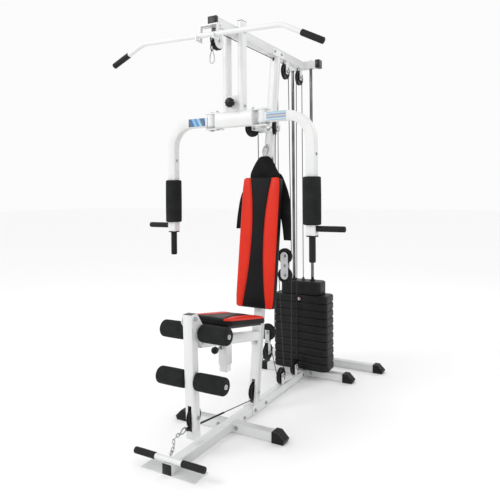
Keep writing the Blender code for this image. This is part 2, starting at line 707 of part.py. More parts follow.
def build_leg_developer():
    def middle(z):
        return 0.2051 + LEG_LEAN * z

    sections = [across_z(0, middle(z), z) for z in (0.094, 0.668)]
    leg = tube("leg_arm", sections, painted("leg_white"))
    cut(leg, box("leg_slot", (-PULLEY_HALF - 0.0015, 0.12, 0.124), (PULLEY_HALF + 0.0015, 0.26, 0.244)))
    cut(leg, rod("leg_pivot_bore", (-0.03, *LEG_PIVOT[1:]), (0.03, *LEG_PIVOT[1:]), 0.0063, segments=12))
    cut(
        leg,
        rod("leg_roller_bore", (-0.03, *LOW_ROLLER[1:]), (0.03, *LOW_ROLLER[1:]), ROLLER_BAR + GAP, segments=16),
    )
    join(leg, rod("leg_axle", (-0.029, *LEG_PULLEY[1:]), (0.029, *LEG_PULLEY[1:]), AXLE, segments=12))
    zinc = finish("leg_pin_zinc", CHROME, 0.3, 1.0)
    profile = [
        (0, 0.038),
        (0.010, 0.038),
        (0.010, 0.0298),
        (0.006, 0.0298),
        (0.006, -0.0298),
        (0.010, -0.0298),
        (0.010, -0.038),
        (0, -0.038),
    ]
    turned("leg_pivot_pin", profile, LEG_PIVOT, (1, 0, 0), zinc, 16, False)
    steel = painted("roller_bar_white")
    foam = finish("roller_foam", RUBBER, 0.9)
    moving = [leg]
    for name, place, near, far in (("top", TOP_ROLLER, 0.034, 0.188), ("bottom", LOW_ROLLER, 0.0285, 0.189)):
        reach = Vector((far + 0.002, 0, 0))
        bar = rod(f"{name}_roller_bar", place - reach, place + reach, ROLLER_BAR, steel, segments=16)
        if name == "bottom":
            moving.append(bar)
        for hand, side in (("left", -1), ("right", 1)):
            centre = place + Vector((side * (near + far) / 2, 0, 0))
            profile = ring_profile(ROLLER, ROLLER_BAR + GAP, far - near, 0.012)
            roller = turned(f"{name}_roller_{hand}", profile, centre, (1, 0, 0), foam, 16)
            pivot(f"{name}_roller_spin_{hand}", centre, roller)
    pivot("leg_swing", LEG_PIVOT, *moving)


def build_pulleys():
    rubber = finish("pulley_black", BLACK, 0.5)
    half, floor = PULLEY_HALF, 0.0036
    outer = [(RIM, half), (GROOVE, floor), (GROOVE, -floor), (RIM, -half)]
    profile = [(AXLE + GAP, half), *outer, (AXLE + GAP, -half)]
    along_x = {
        "top_front_pulley": (0, FRONT_PULLEY_Y, TOP_PULLEY_Z),
        "top_rear_pulley_1": (0, REAR_PULLEY_1_Y, TOP_PULLEY_Z),
        "top_rear_pulley_2": (0, REAR_PULLEY_2_Y, TOP_PULLEY_Z),
        "base_pulley_1": (0, BASE_PULLEY_1_Y, BASE_PULLEY_Z),
        "base_pulley_2": (0, BASE_PULLEY_2_Y, BASE_PULLEY_Z),
        "upright_low_pulley": LOW_PULLEY,
        "leg_pulley": LEG_PULLEY,
    }
    for name, place in along_x.items():
        pivot(f"{name}_spin", place, turned(name, profile, place, (1, 0, 0), rubber, 16))
    for name, side in (("swivel_pulley_left", -1), ("swivel_pulley_right", 1)):
        place = (side * SWIVEL_X, SWIVEL_Y, SWIVEL_Z)
        axis = (-side * SWIVEL_AIM.y, SWIVEL_AIM.x, 0)
        pivot(f"{name}_spin", place, turned(name, profile, place, axis, rubber, 16))
    solid = [(0, half), *outer, (0, -half)]
    zinc = finish("block_grey", GREY, 0.4, 0.6)
    blocks = (
        ("pulley_block_upper", BLOCK_A_TOP, BLOCK_A_LOW, 0.054),
        ("pulley_block_lower", BLOCK_B_TOP, BLOCK_B_LOW, 0.030),
    )
    for name, upper, lower, width in blocks:
        twisted = name.endswith("lower")
        centre = (upper + lower) / 2
        reach = (upper - lower).length / 2
        block = turned(name, solid, upper, (0, 1, 0), zinc, 16, False)
        if not twisted:
            block_low = turned(f"{name}_wheel", solid, lower, (0, 1, 0), None, 16, False)
        else:
            block_low = turned(f"{name}_wheel", solid, lower, (1, 0, 0), None, 16, False)
        join(block, block_low)
        for side in (-1, 1):
            offset = side * (half + 0.0012)
            if not twisted:
                low, high = lower.z - width / 2, upper.z + width / 2
                join(
                    block,
                    box(
                        f"{name}_cheek_{side}",
                        (-width / 2, centre.y + offset - 0.0015, low),
                        (width / 2, centre.y + offset + 0.0015, high),
                    ),
                )
            else:
                z = centre.z
                join(
                    block,
                    box(
                        f"{name}_cheek_a_{side}",
                        (-width / 2, upper.y + offset - 0.0015, z - 0.006),
                        (width / 2, upper.y + offset + 0.0015, upper.z + 0.014),
                    ),
                )
                join(
                    block,
                    box(
                        f"{name}_cheek_b_{side}",
                        (offset - 0.0015, lower.y - width / 2, lower.z - 0.014),
                        (offset + 0.0015, lower.y + width / 2, z + 0.006),
                    ),
                )
        if twisted:
            reach = half + 0.0027
            join(
                block,
                box(
                    f"{name}_web",
                    (-reach, centre.y - reach, centre.z - 0.0035),
                    (reach, centre.y + reach, centre.z + 0.0035),
                ),
            )
        pivot(f"{name}_slide", centre, block)

    bracket_low, bracket_high = SWIVEL_Z - 0.021, SWIVEL_Z + 0.021
    outline = [
        (upright_front(bracket_low) - 0.0063, bracket_low), (upright_front(bracket_high) - 0.0063, bracket_high)
    ]
    outline += [(upright_front(bracket_high) - GAP, bracket_high), (upright_front(bracket_low) - GAP, bracket_low)]
    bracket = side_plate("butterfly_pulley_bracket", outline, 0, 0.150, painted("bracket_white"))
    for side in (-1, 1):
        centre = Vector((side * SWIVEL_X, SWIVEL_Y, SWIVEL_Z))
        back = Vector((-side * SWIVEL_AIM.x, -SWIVEL_AIM.y, 0))
        across = Vector((-side * SWIVEL_AIM.y, SWIVEL_AIM.x, 0))
        join(
            bracket,
            rod(f"swivel_axle_{side}", centre - across * 0.020, centre + across * 0.020, AXLE, segments=12),
        )
        for face in (-1, 1):
            middle = centre + across * face * (half + 0.0035)
            far = (upright_front(SWIVEL_Z) - 0.003 - middle.y) / back.y
            tall = Vector((0, 0, 0.014))
            near_end, far_end = middle - back * 0.014, middle + back * far
            outline = [near_end - tall, far_end - tall, far_end + tall, near_end + tall]
            join(bracket, prism(f"swivel_cheek_{side}_{face}", outline, across * 0.003))


def arc(centre, first, second, start, end):
    """Points on a pulley's wrap, turning from the first direction towards the second."""
    steps = math.ceil(abs(end - start) / 14)
    points = []
    for step in range(steps + 1):
        angle = math.radians(start + (end - start) * step / steps)
        points.append(Vector(centre) + WRAP * (math.cos(angle) * Vector(first) + math.sin(angle) * Vector(second)))
    return points


def crossing(first, second):
    """The angle, in degrees, at which a cable leaves one pulley to cross over to the other side of the next."""
    gap = Vector((second[1] - first[1], second[2] - first[2]))
    return math.degrees(math.atan2(gap.y, gap.x)), math.degrees(math.acos(2 * WRAP / gap.length))


def build_cables():
    steel = finish("cable_black", BLACK, 0.4)
    x, y, z = Vector((1, 0, 0)), Vector((0, 1, 0)), Vector((0, 0, 1))
    front = (0, FRONT_PULLEY_Y, TOP_PULLEY_Z)
    rear_1 = (0, REAR_PULLEY_1_Y, TOP_PULLEY_Z)
    rear_2 = (0, REAR_PULLEY_2_Y, TOP_PULLEY_Z)
    lat = [Vector((0, FRONT_PULLEY_Y - WRAP, 1.9868)), *arc(front, y, z, 180, 90), *arc(rear_1, y, z, 90, 0)]
    lat += [*arc(BLOCK_A_TOP, x, z, 0, -180), Vector((-0.022, 1.152, TOP_UNDER - 0.0006))]
    solid_wire("lat_cable", lat, CABLE, steel, sides=1)

    base_1 = (0, BASE_PULLEY_1_Y, BASE_PULLEY_Z)
    base_2 = (0, BASE_PULLEY_2_Y, BASE_PULLEY_Z)
    heading, spread = crossing(LOW_PULLEY, BLOCK_B_LOW)
    leave_low, meet_b = heading - spread, heading - spread + 180
    heading, spread = crossing(BLOCK_B_LOW, base_1)
    leave_b, meet_base = heading + spread, heading + spread - 180
    main = [*arc(LOW_PULLEY, y, z, -96.5, leave_low), *arc(BLOCK_B_LOW, y, z, meet_b, leave_b)]
    main += [*arc(base_1, y, z, meet_base, 0), *arc(BLOCK_A_LOW, x, z, 180, 0)]
    main += [*arc(base_2, y, z, -180, 0), *arc(rear_2, y, z, 180, 0)]
    solid_wire("main_cable", main, CABLE, steel, sides=1)

    top = STACK_BOTTOM + PLATE_COUNT * PLATE_PITCH + HEAD_HEIGHT + 0.012
    solid_wire(
        "stack_cable", [Vector((0, ROD_Y, TOP_PULLEY_Z - 0.0005)), Vector((0, ROD_Y, top + 0.0005))], CABLE, steel
    )

    butterfly = []
    for side in (-1, 1):
        centre = Vector((side * SWIVEL_X, SWIVEL_Y, SWIVEL_Z))
        aim = Vector((side * SWIVEL_AIM.x, SWIVEL_AIM.y, 0))
        half_route = [
            Vector((side * (HINGE_X + 0.004), HINGE_Y + BARREL + CABLE + 0.001, ARM_Z)),
            *arc(centre, aim, z, 90, 180),
        ]
        under = arc(BLOCK_B_TOP, x * side, z, 0, -90)
        half_route += under[:-1]
        butterfly = half_route + [under[-1]] if not butterfly else butterfly + half_route[::-1]
    solid_wire("butterfly_cable", butterfly, CABLE, steel, sides=1)

    under = math.radians(-96.5)
    contact = WRAP * Vector((0, math.cos(under), math.sin(under)))
    leg_start, low_end = LEG_PULLEY + contact, LOW_PULLEY + contact
    toward = (low_end - leg_start).normalized()
    leg = [leg_start - toward * 0.048, leg_start, low_end - toward * 0.0015]
    solid_wire("leg_cable", leg, CABLE, steel, sides=1)


def build_lat_bar():
    half, out, drop, grip = 0.406, 0.206, 0.099, 0.118
    slope = math.atan2(drop, out)
    end = Vector((half + out, 0, -drop))
    along = Vector((math.cos(slope), 0, -math.sin(slope)))
    wide = 1.24
    side = []
    for t in (0, 0.25, 0.5, 0.75, 1):
        straight = Vector((half - 0.05 + 0.05 * t, 0, 0))
        sloped = Vector((half, 0, 0)) + along * 0.05 * t
        side.append((*straight.lerp(sloped, t), 1.0))
    side += [(*(end - along * grip), 1.0), (*(end - along * (grip - 0.001)), wide), (*end, wide)]
    roll = Matrix.Translation((0.003, LAT_Y, LAT_Z)) @ Matrix.Rotation(LAT_TILT, 4, "Y")
    points = [(-px, py, pz, radius) for px, py, pz, radius in reversed(side)] + side
    placed = [(*(roll @ Vector(point[:3])), point[3]) for point in points]
    bar = solid_wire("lat_bar", placed, LAT_RADIUS, painted("lat_white"), sides=4)
    pivot("lat_bar_lift", (0, LAT_Y, LAT_Z), bar)

    def loop(centre, half_wide, half_tall, across, count=12):
        across = Vector(across)
        turns = [2 * math.pi * step / count for step in range(count)]
        up = Vector((0, 0, half_tall))
        return [Vector(centre) + math.cos(a) * half_wide * across + math.sin(a) * up for a in turns]

    steel = finish("hook_chrome", CHROME, 0.25, 1.0)
    snap = solid_wire(
        "snap_wire", loop((0, 0.3806, 1.9590), 0.011, 0.022, (0, 1, 0), 10), 0.003, cyclic=True, sides=1
    )
    drop_link = solid_wire(
        "drop_wire", loop((0, 0.3806, 1.9080), 0.011, 0.0325, (1, 0, 0), 10), 0.003, cyclic=True, sides=1
    )
    hook = box("lat_hook", (-0.0035, 0.3770, 1.9765), (0.0035, 0.3842, 1.9850), steel)
    join(hook, snap, drop_link)


def build_low_bar():
    centre, half, grip, wide = LOW_BAR, 0.191, 0.1175, 1.24
    points = [
        (-half, wide),
        (grip - half, wide),
        (grip - half + 0.001, 1.0),
        (half - grip - 0.001, 1.0),
        (half - grip, wide),
        (half, wide),
    ]
    points = [(along, centre.y, centre.z, radius) for along, radius in points]
    wire = solid_wire("low_bar_wire", points, LAT_RADIUS, sides=4)
    bar = side_plate(
        "low_bar",
        [(0.014, 0.068), (0.026, 0.064), (0.043, 0.082), (0.040, 0.095), (0.028, 0.093)],
        0,
        0.004,
        painted("low_bar_white"),
    )
    cut(join(bar, wire), rod("eye_bore", (-0.01, 0.0345, 0.0855), (0.01, 0.0345, 0.0855), 0.0048, segments=12))
    zinc = finish("chain_zinc", CHROME, 0.3, 1.0)
    route = [(-0.010, 0.0345, 0.0855), (0.006, 0.0345, 0.0855), (0.0095, 0.038, 0.095), (0.005, 0.042, 0.110)]
    route += [(0, 0.050, 0.128), (0, 0.066, 0.138), (0, 0.092, 0.144), (0, 0.1235, 0.1465)]
    chain = solid_wire("low_bar_chain", [Vector(place) for place in route], 0.004, zinc, sides=1)
    pivot("low_bar_pull", LOW_BAR, bar, chain)
    end = [Vector((0, 0.1255, 0.1467)), Vector((0, 0.1485, 0.1450))]
    hook = solid_wire("low_bar_carabiner", end, 0.004, zinc, sides=1)
    pivot("low_bar_hang", end[1], hook)


def shift_to_middle():
    """The origin goes under the middle of the machine: everything hangs on one empty that is moved back."""
    machine = bpy.data.objects.new("machine", None)
    machine.location = (0, -MID_Y, 0)
    PARTS.objects.link(machine)
    for made in [o for o in bpy.data.objects if o.parent is None and o is not machine]:
        made.parent = machine


clear_scene()
build_base()
build_upright()
build_top()
build_stack()
build_seat()
build_back()
build_ab_strap()
build_press()
build_arm("left", -1)
build_arm("right", 1)
build_leg_developer()
build_pulleys()
build_cables()
build_lat_bar()
build_low_bar()
shift_to_middle()
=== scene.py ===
"""A multi station home gym, piece by piece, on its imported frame. Metres, +Z up, the user faces -Y."""
import json
import math

import bmesh
import bpy
from mathutils import Matrix, Vector, noise


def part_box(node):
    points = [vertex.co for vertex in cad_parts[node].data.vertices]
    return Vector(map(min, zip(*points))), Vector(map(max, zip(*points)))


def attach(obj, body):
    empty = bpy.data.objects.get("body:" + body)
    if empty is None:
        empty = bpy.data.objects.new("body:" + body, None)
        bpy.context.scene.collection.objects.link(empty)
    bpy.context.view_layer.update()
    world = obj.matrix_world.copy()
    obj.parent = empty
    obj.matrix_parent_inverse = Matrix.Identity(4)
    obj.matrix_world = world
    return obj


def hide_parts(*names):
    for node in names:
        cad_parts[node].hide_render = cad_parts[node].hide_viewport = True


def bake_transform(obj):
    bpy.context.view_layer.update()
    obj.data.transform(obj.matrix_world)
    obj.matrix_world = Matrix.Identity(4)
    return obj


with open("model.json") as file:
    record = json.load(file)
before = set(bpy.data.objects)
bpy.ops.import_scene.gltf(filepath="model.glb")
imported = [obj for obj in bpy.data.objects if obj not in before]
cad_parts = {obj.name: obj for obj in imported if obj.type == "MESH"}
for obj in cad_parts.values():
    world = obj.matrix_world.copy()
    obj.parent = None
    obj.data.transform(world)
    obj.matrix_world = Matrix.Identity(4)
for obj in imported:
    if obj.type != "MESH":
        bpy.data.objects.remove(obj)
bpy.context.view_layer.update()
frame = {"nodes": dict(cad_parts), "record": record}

MIDDLE = 0.8935  # from the front end of the main beam back to the frame's origin
FACE_FOOT, LEAN = 0.745, 0.15  # the upright's front face: y at the floor, and its lean in each metre up
ROD_X, STACK_Y = 0.067, 1.470  # the guide rods, on each side of the weight stack's centre
SWIVEL_X, SWIVEL_Y, SWIVEL_Z = 0.0735, 0.9134, 1.612  # the swivel pulleys on the upright
ARM_X, ARM_Y = 0.430, 0.618  # the hanging part of each butterfly arm
SEAT_POST_Y, SEAT_SLOPE = 0.481, 0.1545
TOP_ROLLER, BOTTOM_ROLLER = (0.222, 0.574), (0.190, 0.357)  # y and z of the tubes inside the foam rollers
BEAM_HALF = 0.0253  # from the middle of a 50 mm tube to the plates on its sides
HANDS = (("left", -1), ("right", 1))
BODY_OF = {node: body for body, nodes in frame["record"]["behaviour"]["bodies"].items() for node in nodes}
X, Y, Z = Vector((1, 0, 0)), Vector((0, 1, 0)), Vector((0, 0, 1))


def at(x, y, z):
    """A point of the machine, with y measured back from the front end of its main beam."""
    return Vector((x, y - MIDDLE, z))


def upright_face(z):
    """How far back the upright's front face is at a height."""
    return FACE_FOOT + LEAN * z


# ---------------------------------------------------------------- shared effects, as node groups

def effect(name, inputs, outputs):
    """An empty node group with its named sockets, and its two end nodes."""
    tree = bpy.data.node_groups.new(name, "ShaderNodeTree")
    kinds = {"number": "NodeSocketFloat", "colour": "NodeSocketColor", "vector": "NodeSocketVector"}
    for side, sockets in (("INPUT", inputs), ("OUTPUT", outputs)):
        for label, kind in sockets:
            tree.interface.new_socket(name=label, in_out=side, socket_type=kinds[kind])
    return tree, tree.nodes.new("NodeGroupInput"), tree.nodes.new("NodeGroupOutput")


def add(tree, kind, **settings):
    """A new node with its settings made."""
    made = tree.nodes.new(kind)
    for name, value in settings.items():
        setattr(made, name, value)
    return made


def noise_field(tree, size, detail=3.0, roughness=0.55):
    """Noise on the piece's own coordinates. size is the socket that gives the waves in a metre."""
    place = add(tree, "ShaderNodeTexCoord")
    field = add(tree, "ShaderNodeTexNoise")
    field.inputs["Detail"].default_value = detail
    field.inputs["Roughness"].default_value = roughness
    tree.links.new(place.outputs["Object"], field.inputs["Vector"])
    tree.links.new(size, field.inputs["Scale"])
    return field.outputs["Fac"]


def rescale(tree, value, low, high, to_low=0.0, to_high=1.0):
    """The value spread from one range to another. The ends are numbers or sockets."""
    spread = add(tree, "ShaderNodeMapRange")
    for name, number in (("From Min", low), ("From Max", high), ("To Min", to_low), ("To Max", to_high)):
        if isinstance(number, (int, float)):
            spread.inputs[name].default_value = number
        else:
            tree.links.new(number, spread.inputs[name])
    tree.links.new(value, spread.inputs["Value"])
    return spread.outputs["Result"]


def mixed(tree, factor, first, second):
    """The colour between two colour sockets."""
    blend = add(tree, "ShaderNodeMix", data_type="RGBA")
    for socket, value in ((0, factor), (6, first), (7, second)):
        tree.links.new(value, blend.inputs[socket])
    return blend.outputs[2]


def make_tone():
    """Slow drift between two colours, as paint, dye or dust gives."""
    tree, given, result = effect(
        "tone drift", [("Colour", "colour"), ("Other", "colour"), ("Size", "number")], [("Colour", "colour")]
    )
    wide = rescale(tree, noise_field(tree, given.outputs["Size"]), 0.35, 0.65)
    drifted = mixed(tree, wide, given.outputs["Colour"], given.outputs["Other"])
    tree.links.new(drifted, result.inputs["Colour"])
    return tree


def make_polish():
    """Roughness that wanders between two values, with faint handling marks."""
    tree, given, result = effect(
        "polish", [("Smooth", "number"), ("Dull", "number"), ("Size", "number")], [("Roughness", "number")]
    )
    wide = noise_field(tree, given.outputs["Size"], 5.0, 0.65)
    rough = rescale(tree, wide, 0.3, 0.7, given.outputs["Smooth"], given.outputs["Dull"])
    tree.links.new(rough, result.inputs["Roughness"])
    return tree


def make_pebble():
    """The pebbled surface of leathercloth and moulded plastic."""
    tree, given, result = effect("pebble", [("Size", "number")], [("Height", "number")])
    place = add(tree, "ShaderNodeTexCoord")
    cells = add(tree, "ShaderNodeTexVoronoi", feature="SMOOTH_F1")
    tree.links.new(place.outputs["Object"], cells.inputs["Vector"])
    tree.links.new(given.outputs["Size"], cells.inputs["Scale"])
    tree.links.new(rescale(tree, cells.outputs["Distance"], 0.0, 0.6, 1.0, 0.0), result.inputs["Height"])
    return tree


def make_fine_grain():
    """The tight, even grain of powder coat, foam skin and cast metal."""
    tree, given, result = effect("fine grain", [("Size", "number")], [("Height", "number")])
    tree.links.new(noise_field(tree, given.outputs["Size"], 2.0, 0.5), result.inputs["Height"])
    return tree


def make_weave():
    """Webbing: two sets of threads, over and under each other."""
    tree, given, result = effect("weave", [("Threads", "number")], [("Height", "number")])
    place = add(tree, "ShaderNodeTexCoord")
    threads = []
    for direction in ("X", "Z"):
        wave = add(tree, "ShaderNodeTexWave", wave_type="BANDS", bands_direction=direction)
        tree.links.new(place.outputs["Object"], wave.inputs["Vector"])
        tree.links.new(given.outputs["Threads"], wave.inputs["Scale"])
        threads.append(wave.outputs["Fac"])
    both = add(tree, "ShaderNodeMath", operation="MULTIPLY")
    tree.links.new(threads[0], both.inputs[0])
    tree.links.new(threads[1], both.inputs[1])
    tree.links.new(both.outputs[0], result.inputs["Height"])
    return tree


TONE, POLISH, PEBBLE, FINE, WEAVE = make_tone(), make_polish(), make_pebble(), make_fine_grain(), make_weave()


def place_group(tree, group, **values):
    """A shared effect placed in a material, with its own values."""
    made = add(tree, "ShaderNodeGroup", node_tree=group)
    for name, value in values.items():
        made.inputs[name].default_value = value
    return made


def finish(
    name, colour, other, smooth, dull, metallic=0.0, tone=5.0, marks=14.0, grain=None, coat=0.0, shine=0.5
):
    """A material that drifts between two close colours and two roughnesses.
    tone and marks are the waves in a metre of those drifts; grain is (group, waves in a metre, depth)."""
    made = bpy.data.materials.new(name)
    made.use_nodes = True
    tree = made.node_tree
    shader = tree.nodes["Principled BSDF"]
    shader.inputs["Metallic"].default_value = metallic
    shader.inputs["Specular IOR Level"].default_value = shine
    shader.inputs["Coat Weight"].default_value = coat
    shader.inputs["Coat Roughness"].default_value = 0.2
    drift = place_group(tree, TONE, Colour=(*colour, 1), Other=(*other, 1), Size=tone)
    tree.links.new(drift.outputs["Colour"], shader.inputs["Base Color"])
    polish = place_group(tree, POLISH, Smooth=smooth, Dull=dull, Size=marks)
    tree.links.new(polish.outputs["Roughness"], shader.inputs["Roughness"])
    if grain:
        group, size, depth = grain
        socket = "Threads" if group is WEAVE else "Size"
        surface = place_group(tree, group, **{socket: size})
        bump = add(tree, "ShaderNodeBump")
        bump.inputs["Strength"].default_value = 0.6
        bump.inputs["Distance"].default_value = depth
        tree.links.new(surface.outputs["Height"], bump.inputs["Height"])
        tree.links.new(bump.outputs["Normal"], shader.inputs["Normal"])
    return made


POWDER_COAT = finish(
    "white_powder_coat", (0.74, 0.75, 0.74), (0.70, 0.71, 0.705), 0.30, 0.42, grain=(FINE, 700, 0.0002),
    coat=0.1,
)
PLATE_WHITE = finish(
    "foot_plate_white", (0.70, 0.71, 0.71), (0.64, 0.65, 0.65), 0.35, 0.55, grain=(FINE, 500, 0.0003)
)
ZINC = finish(
    "bright_zinc", (0.52, 0.53, 0.54), (0.38, 0.39, 0.40), 0.24, 0.42, 1.0, 40, 60, (FINE, 900, 0.0001)
)
CHEEK = finish(
    "grey_cheek_plate", (0.62, 0.63, 0.63), (0.55, 0.56, 0.57), 0.35, 0.5, 0.3, 20, 40, (FINE, 800, 0.0001)
)
CHROME = finish("chrome_plate", (0.46, 0.47, 0.48), (0.36, 0.37, 0.39), 0.06, 0.14, 1.0, 20, 30)
DARK_ROD = finish("guide_rod_chrome", (0.20, 0.20, 0.21), (0.11, 0.11, 0.12), 0.08, 0.18, 1.0, 9, 25)
RED = finish(
    "red_leathercloth", (0.70, 0.024, 0.007), (0.63, 0.019, 0.005), 0.36, 0.48, grain=(PEBBLE, 520, 0.0003),
    coat=0.02, shine=0.2,
)
BLACK_CLOTH = finish(
    "black_leathercloth", (0.003, 0.003, 0.004), (0.006, 0.006, 0.007), 0.40, 0.52,
    grain=(PEBBLE, 520, 0.0003), shine=0.13,
)
STITCH = finish(
    "stitching_thread", (0.03, 0.027, 0.027), (0.018, 0.017, 0.017), 0.6, 0.8, grain=(FINE, 1800, 0.0002),
    shine=0.2,
)
FOAM = finish(
    "black_foam", (0.009, 0.0095, 0.0095), (0.014, 0.015, 0.015), 0.72, 0.9, tone=22,
    grain=(FINE, 420, 0.0008), shine=0.2,
)
RUBBER = finish(
    "black_rubber", (0.006, 0.006, 0.006), (0.011, 0.011, 0.011), 0.5, 0.68, tone=12,
    grain=(FINE, 600, 0.0003), shine=0.25,
)
GRIP = finish(
    "ribbed_grip_rubber", (0.007, 0.0075, 0.0075), (0.012, 0.0125, 0.0125), 0.5, 0.7,
    grain=(PEBBLE, 650, 0.0004), shine=0.25,
)
PLASTIC = finish(
    "black_plastic", (0.005, 0.005, 0.006), (0.010, 0.010, 0.011), 0.28, 0.42, grain=(FINE, 900, 0.0001),
    shine=0.3,
)
NYLON = finish(
    "pulley_nylon", (0.006, 0.006, 0.007), (0.012, 0.012, 0.013), 0.34, 0.5, tone=30,
    grain=(FINE, 900, 0.0001), shine=0.25,
)
SHELL = finish(
    "moulded_weight_shell", (0.008, 0.008, 0.009), (0.014, 0.014, 0.015), 0.34, 0.5, tone=7,
    grain=(PEBBLE, 420, 0.0003), shine=0.16,
)
BOARD = finish(
    "painted_board", (0.012, 0.011, 0.010), (0.022, 0.020, 0.018), 0.7, 0.85, tone=12,
    grain=(FINE, 260, 0.0004), shine=0.2,
)
JACKET = finish(
    "cable_jacket", (0.012, 0.012, 0.013), (0.022, 0.022, 0.023), 0.3, 0.45, tone=40,
    grain=(FINE, 1400, 0.0002), shine=0.4,
)
WEBBING = finish(
    "strap_webbing", (0.006, 0.006, 0.007), (0.012, 0.012, 0.013), 0.7, 0.88, tone=16,
    grain=(WEAVE, 210, 0.0006), shine=0.15,
)


def striped(name, colours, middle, direction, reach):
    """A label of plain stripes across the direction, over the reach on each side of the middle."""
    made = bpy.data.materials.new(name)
    made.use_nodes = True
    tree = made.node_tree
    shader = tree.nodes["Principled BSDF"]
    shader.inputs["Coat Weight"].default_value = 0.2
    place = add(tree, "ShaderNodeTexCoord")
    offset = add(tree, "ShaderNodeVectorMath", operation="SUBTRACT")
    offset.inputs[1].default_value = middle
    along = add(tree, "ShaderNodeVectorMath", operation="DOT_PRODUCT")
    along.inputs[1].default_value = Vector(direction).normalized()
    tree.links.new(place.outputs["Object"], offset.inputs[0])
    tree.links.new(offset.outputs["Vector"], along.inputs[0])
    ramp = add(tree, "ShaderNodeValToRGB")
    ramp.color_ramp.interpolation = "EASE"
    for step in range(1, len(colours) - 1):
        ramp.color_ramp.elements.new(step / (len(colours) - 1))
    for element, colour in zip(ramp.color_ramp.elements, colours):
        element.color = (*colour, 1)
    tree.links.new(rescale(tree, along.outputs["Value"], -reach, reach), ramp.inputs["Fac"])
    tree.links.new(ramp.outputs["Color"], shader.inputs["Base Color"])
    polish = place_group(tree, POLISH, Smooth=0.2, Dull=0.35, Size=60)
    tree.links.new(polish.outputs["Roughness"], shader.inputs["Roughness"])
    return made


# ---------------------------------------------------------------- making pieces


def piece(name, bm, materials, body, node=None, angle=40):
    """The finished object of a bmesh, riding on its body and standing in for the node."""
    mesh = bpy.data.meshes.new(name)
    bm.to_mesh(mesh)
    bm.free()
    materials = materials if isinstance(materials, list) else [materials]
    for one in materials:
        mesh.materials.append(one)
    mesh.shade_smooth()
    mesh.set_sharp_from_angle(angle=math.radians(angle))
    made = bpy.data.objects.new(name, mesh)
    bpy.context.scene.collection.objects.link(made)
    if body:
        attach(made, body)
    if node:
        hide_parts(node)
    return made


def box(bm, low, high, bevel=0.001, segments=2, turn=None, about=None):
    """A bevelled block between two corners. turn rotates it about a point, or about its own middle."""
    low, high = Vector(low), Vector(high)
    middle, size = (low + high) / 2, high - low
    fresh = bmesh.ops.create_cube(bm, size=1.0, matrix=Matrix.LocRotScale(middle, None, size))["verts"]
    edges = list({edge for vert in fresh for edge in vert.link_edges})
    before = set(bm.verts) - set(fresh)
    bmesh.ops.bevel(
        bm, geom=edges, offset=bevel, offset_type="OFFSET", segments=segments, profile=0.5, affect="EDGES",
        material=-1,
    )
    if turn is not None:
        fresh = [vert for vert in bm.verts if vert not in before]
        pivot = Matrix.Translation(about if about is not None else middle)
        bmesh.ops.transform(bm, matrix=pivot @ turn.to_4x4() @ pivot.inverted(), verts=fresh)


def lathe(bm, profile, centre, axis, steps=40):
    """A (radius, height) profile spun about the axis through the centre. Ends on the axis close the shape."""
    fresh = [bm.verts.new((radius, 0, height)) for radius, height in profile]
    edges = [bm.edges.new(pair) for pair in zip(fresh, fresh[1:])]
    if profile[0][0] > 1e-6 or profile[-1][0] > 1e-6:
        edges.append(bm.edges.new((fresh[-1], fresh[0])))
    before = set(bm.verts) - set(fresh)
    bmesh.ops.spin(
        bm, geom=fresh + edges, cent=(0, 0, 0), axis=(0, 0, 1), dvec=(0, 0, 0), angle=2 * math.pi,
        steps=steps, use_merge=True,
    )
    spun = [vert for vert in bm.verts if vert not in before]
    bmesh.ops.remove_doubles(bm, verts=spun, dist=1e-6)
    spun = [vert for vert in bm.verts if vert not in before]
    faces = list({face for vert in spun for face in vert.link_faces})
    bmesh.ops.recalc_face_normals(bm, faces=faces)
    place = Matrix.Translation(centre) @ Vector(axis).to_track_quat("Z", "Y").to_matrix().to_4x4()
    bmesh.ops.transform(bm, matrix=place, verts=spun)


def rounded(radius, half, edge, steps=4):
    """The profile of a short bar with rounded ends, from the axis at one end to the axis at the other."""
    turns = [math.pi / 2 * step / steps for step in range(steps + 1)]
    top = [(radius - edge + edge * math.sin(a), half - edge + edge * math.cos(a)) for a in turns]
    return [(0, half), *top, *[(r, -h) for r, h in reversed(top)], (0, -half)]


def wire(bm, points, radius, sides=5, cyclic=False):
    """A round wire through the points. A point may give a fourth number, its share of the radius."""
    data = bpy.data.curves.new("wire", "CURVE")
    data.dimensions = "3D"
    data.bevel_depth = radius
    data.bevel_resolution = sides
    data.use_fill_caps = not cyclic
    spline = data.splines.new("POLY")
    spline.points.add(len(points) - 1)
    for control, place in zip(spline.points, points):
        control.co = (*place[:3], 1)
        control.radius = place[3] if len(place) > 3 else 1.0
    spline.use_cyclic_u = cyclic
    holder = bpy.data.objects.new("wire", data)
    bpy.context.scene.collection.objects.link(holder)
    bpy.context.view_layer.update()
    mesh = bpy.data.meshes.new_from_object(holder.evaluated_get(bpy.context.evaluated_depsgraph_get()))
    bpy.data.objects.remove(holder)
    bpy.data.curves.remove(data)
    before = set(bm.verts)
    bm.from_mesh(mesh)
    bpy.data.meshes.remove(mesh)
    bmesh.ops.remove_doubles(bm, verts=[vert for vert in bm.verts if vert not in before], dist=1e-6)


def loop_of(steps):
    """The angles of a closed loop."""
    return [math.tau * step / steps for step in range(steps)]


def spline_point(a, b, c, d, t):
    """The share t of the way from b to c, on the smooth curve through all four."""
    return 0.5 * (
        (2 * b) + (c - a) * t + (2 * a - 5 * b + 4 * c - d) * t * t + (3 * b - a - 3 * c + d) * t * t * t
    )


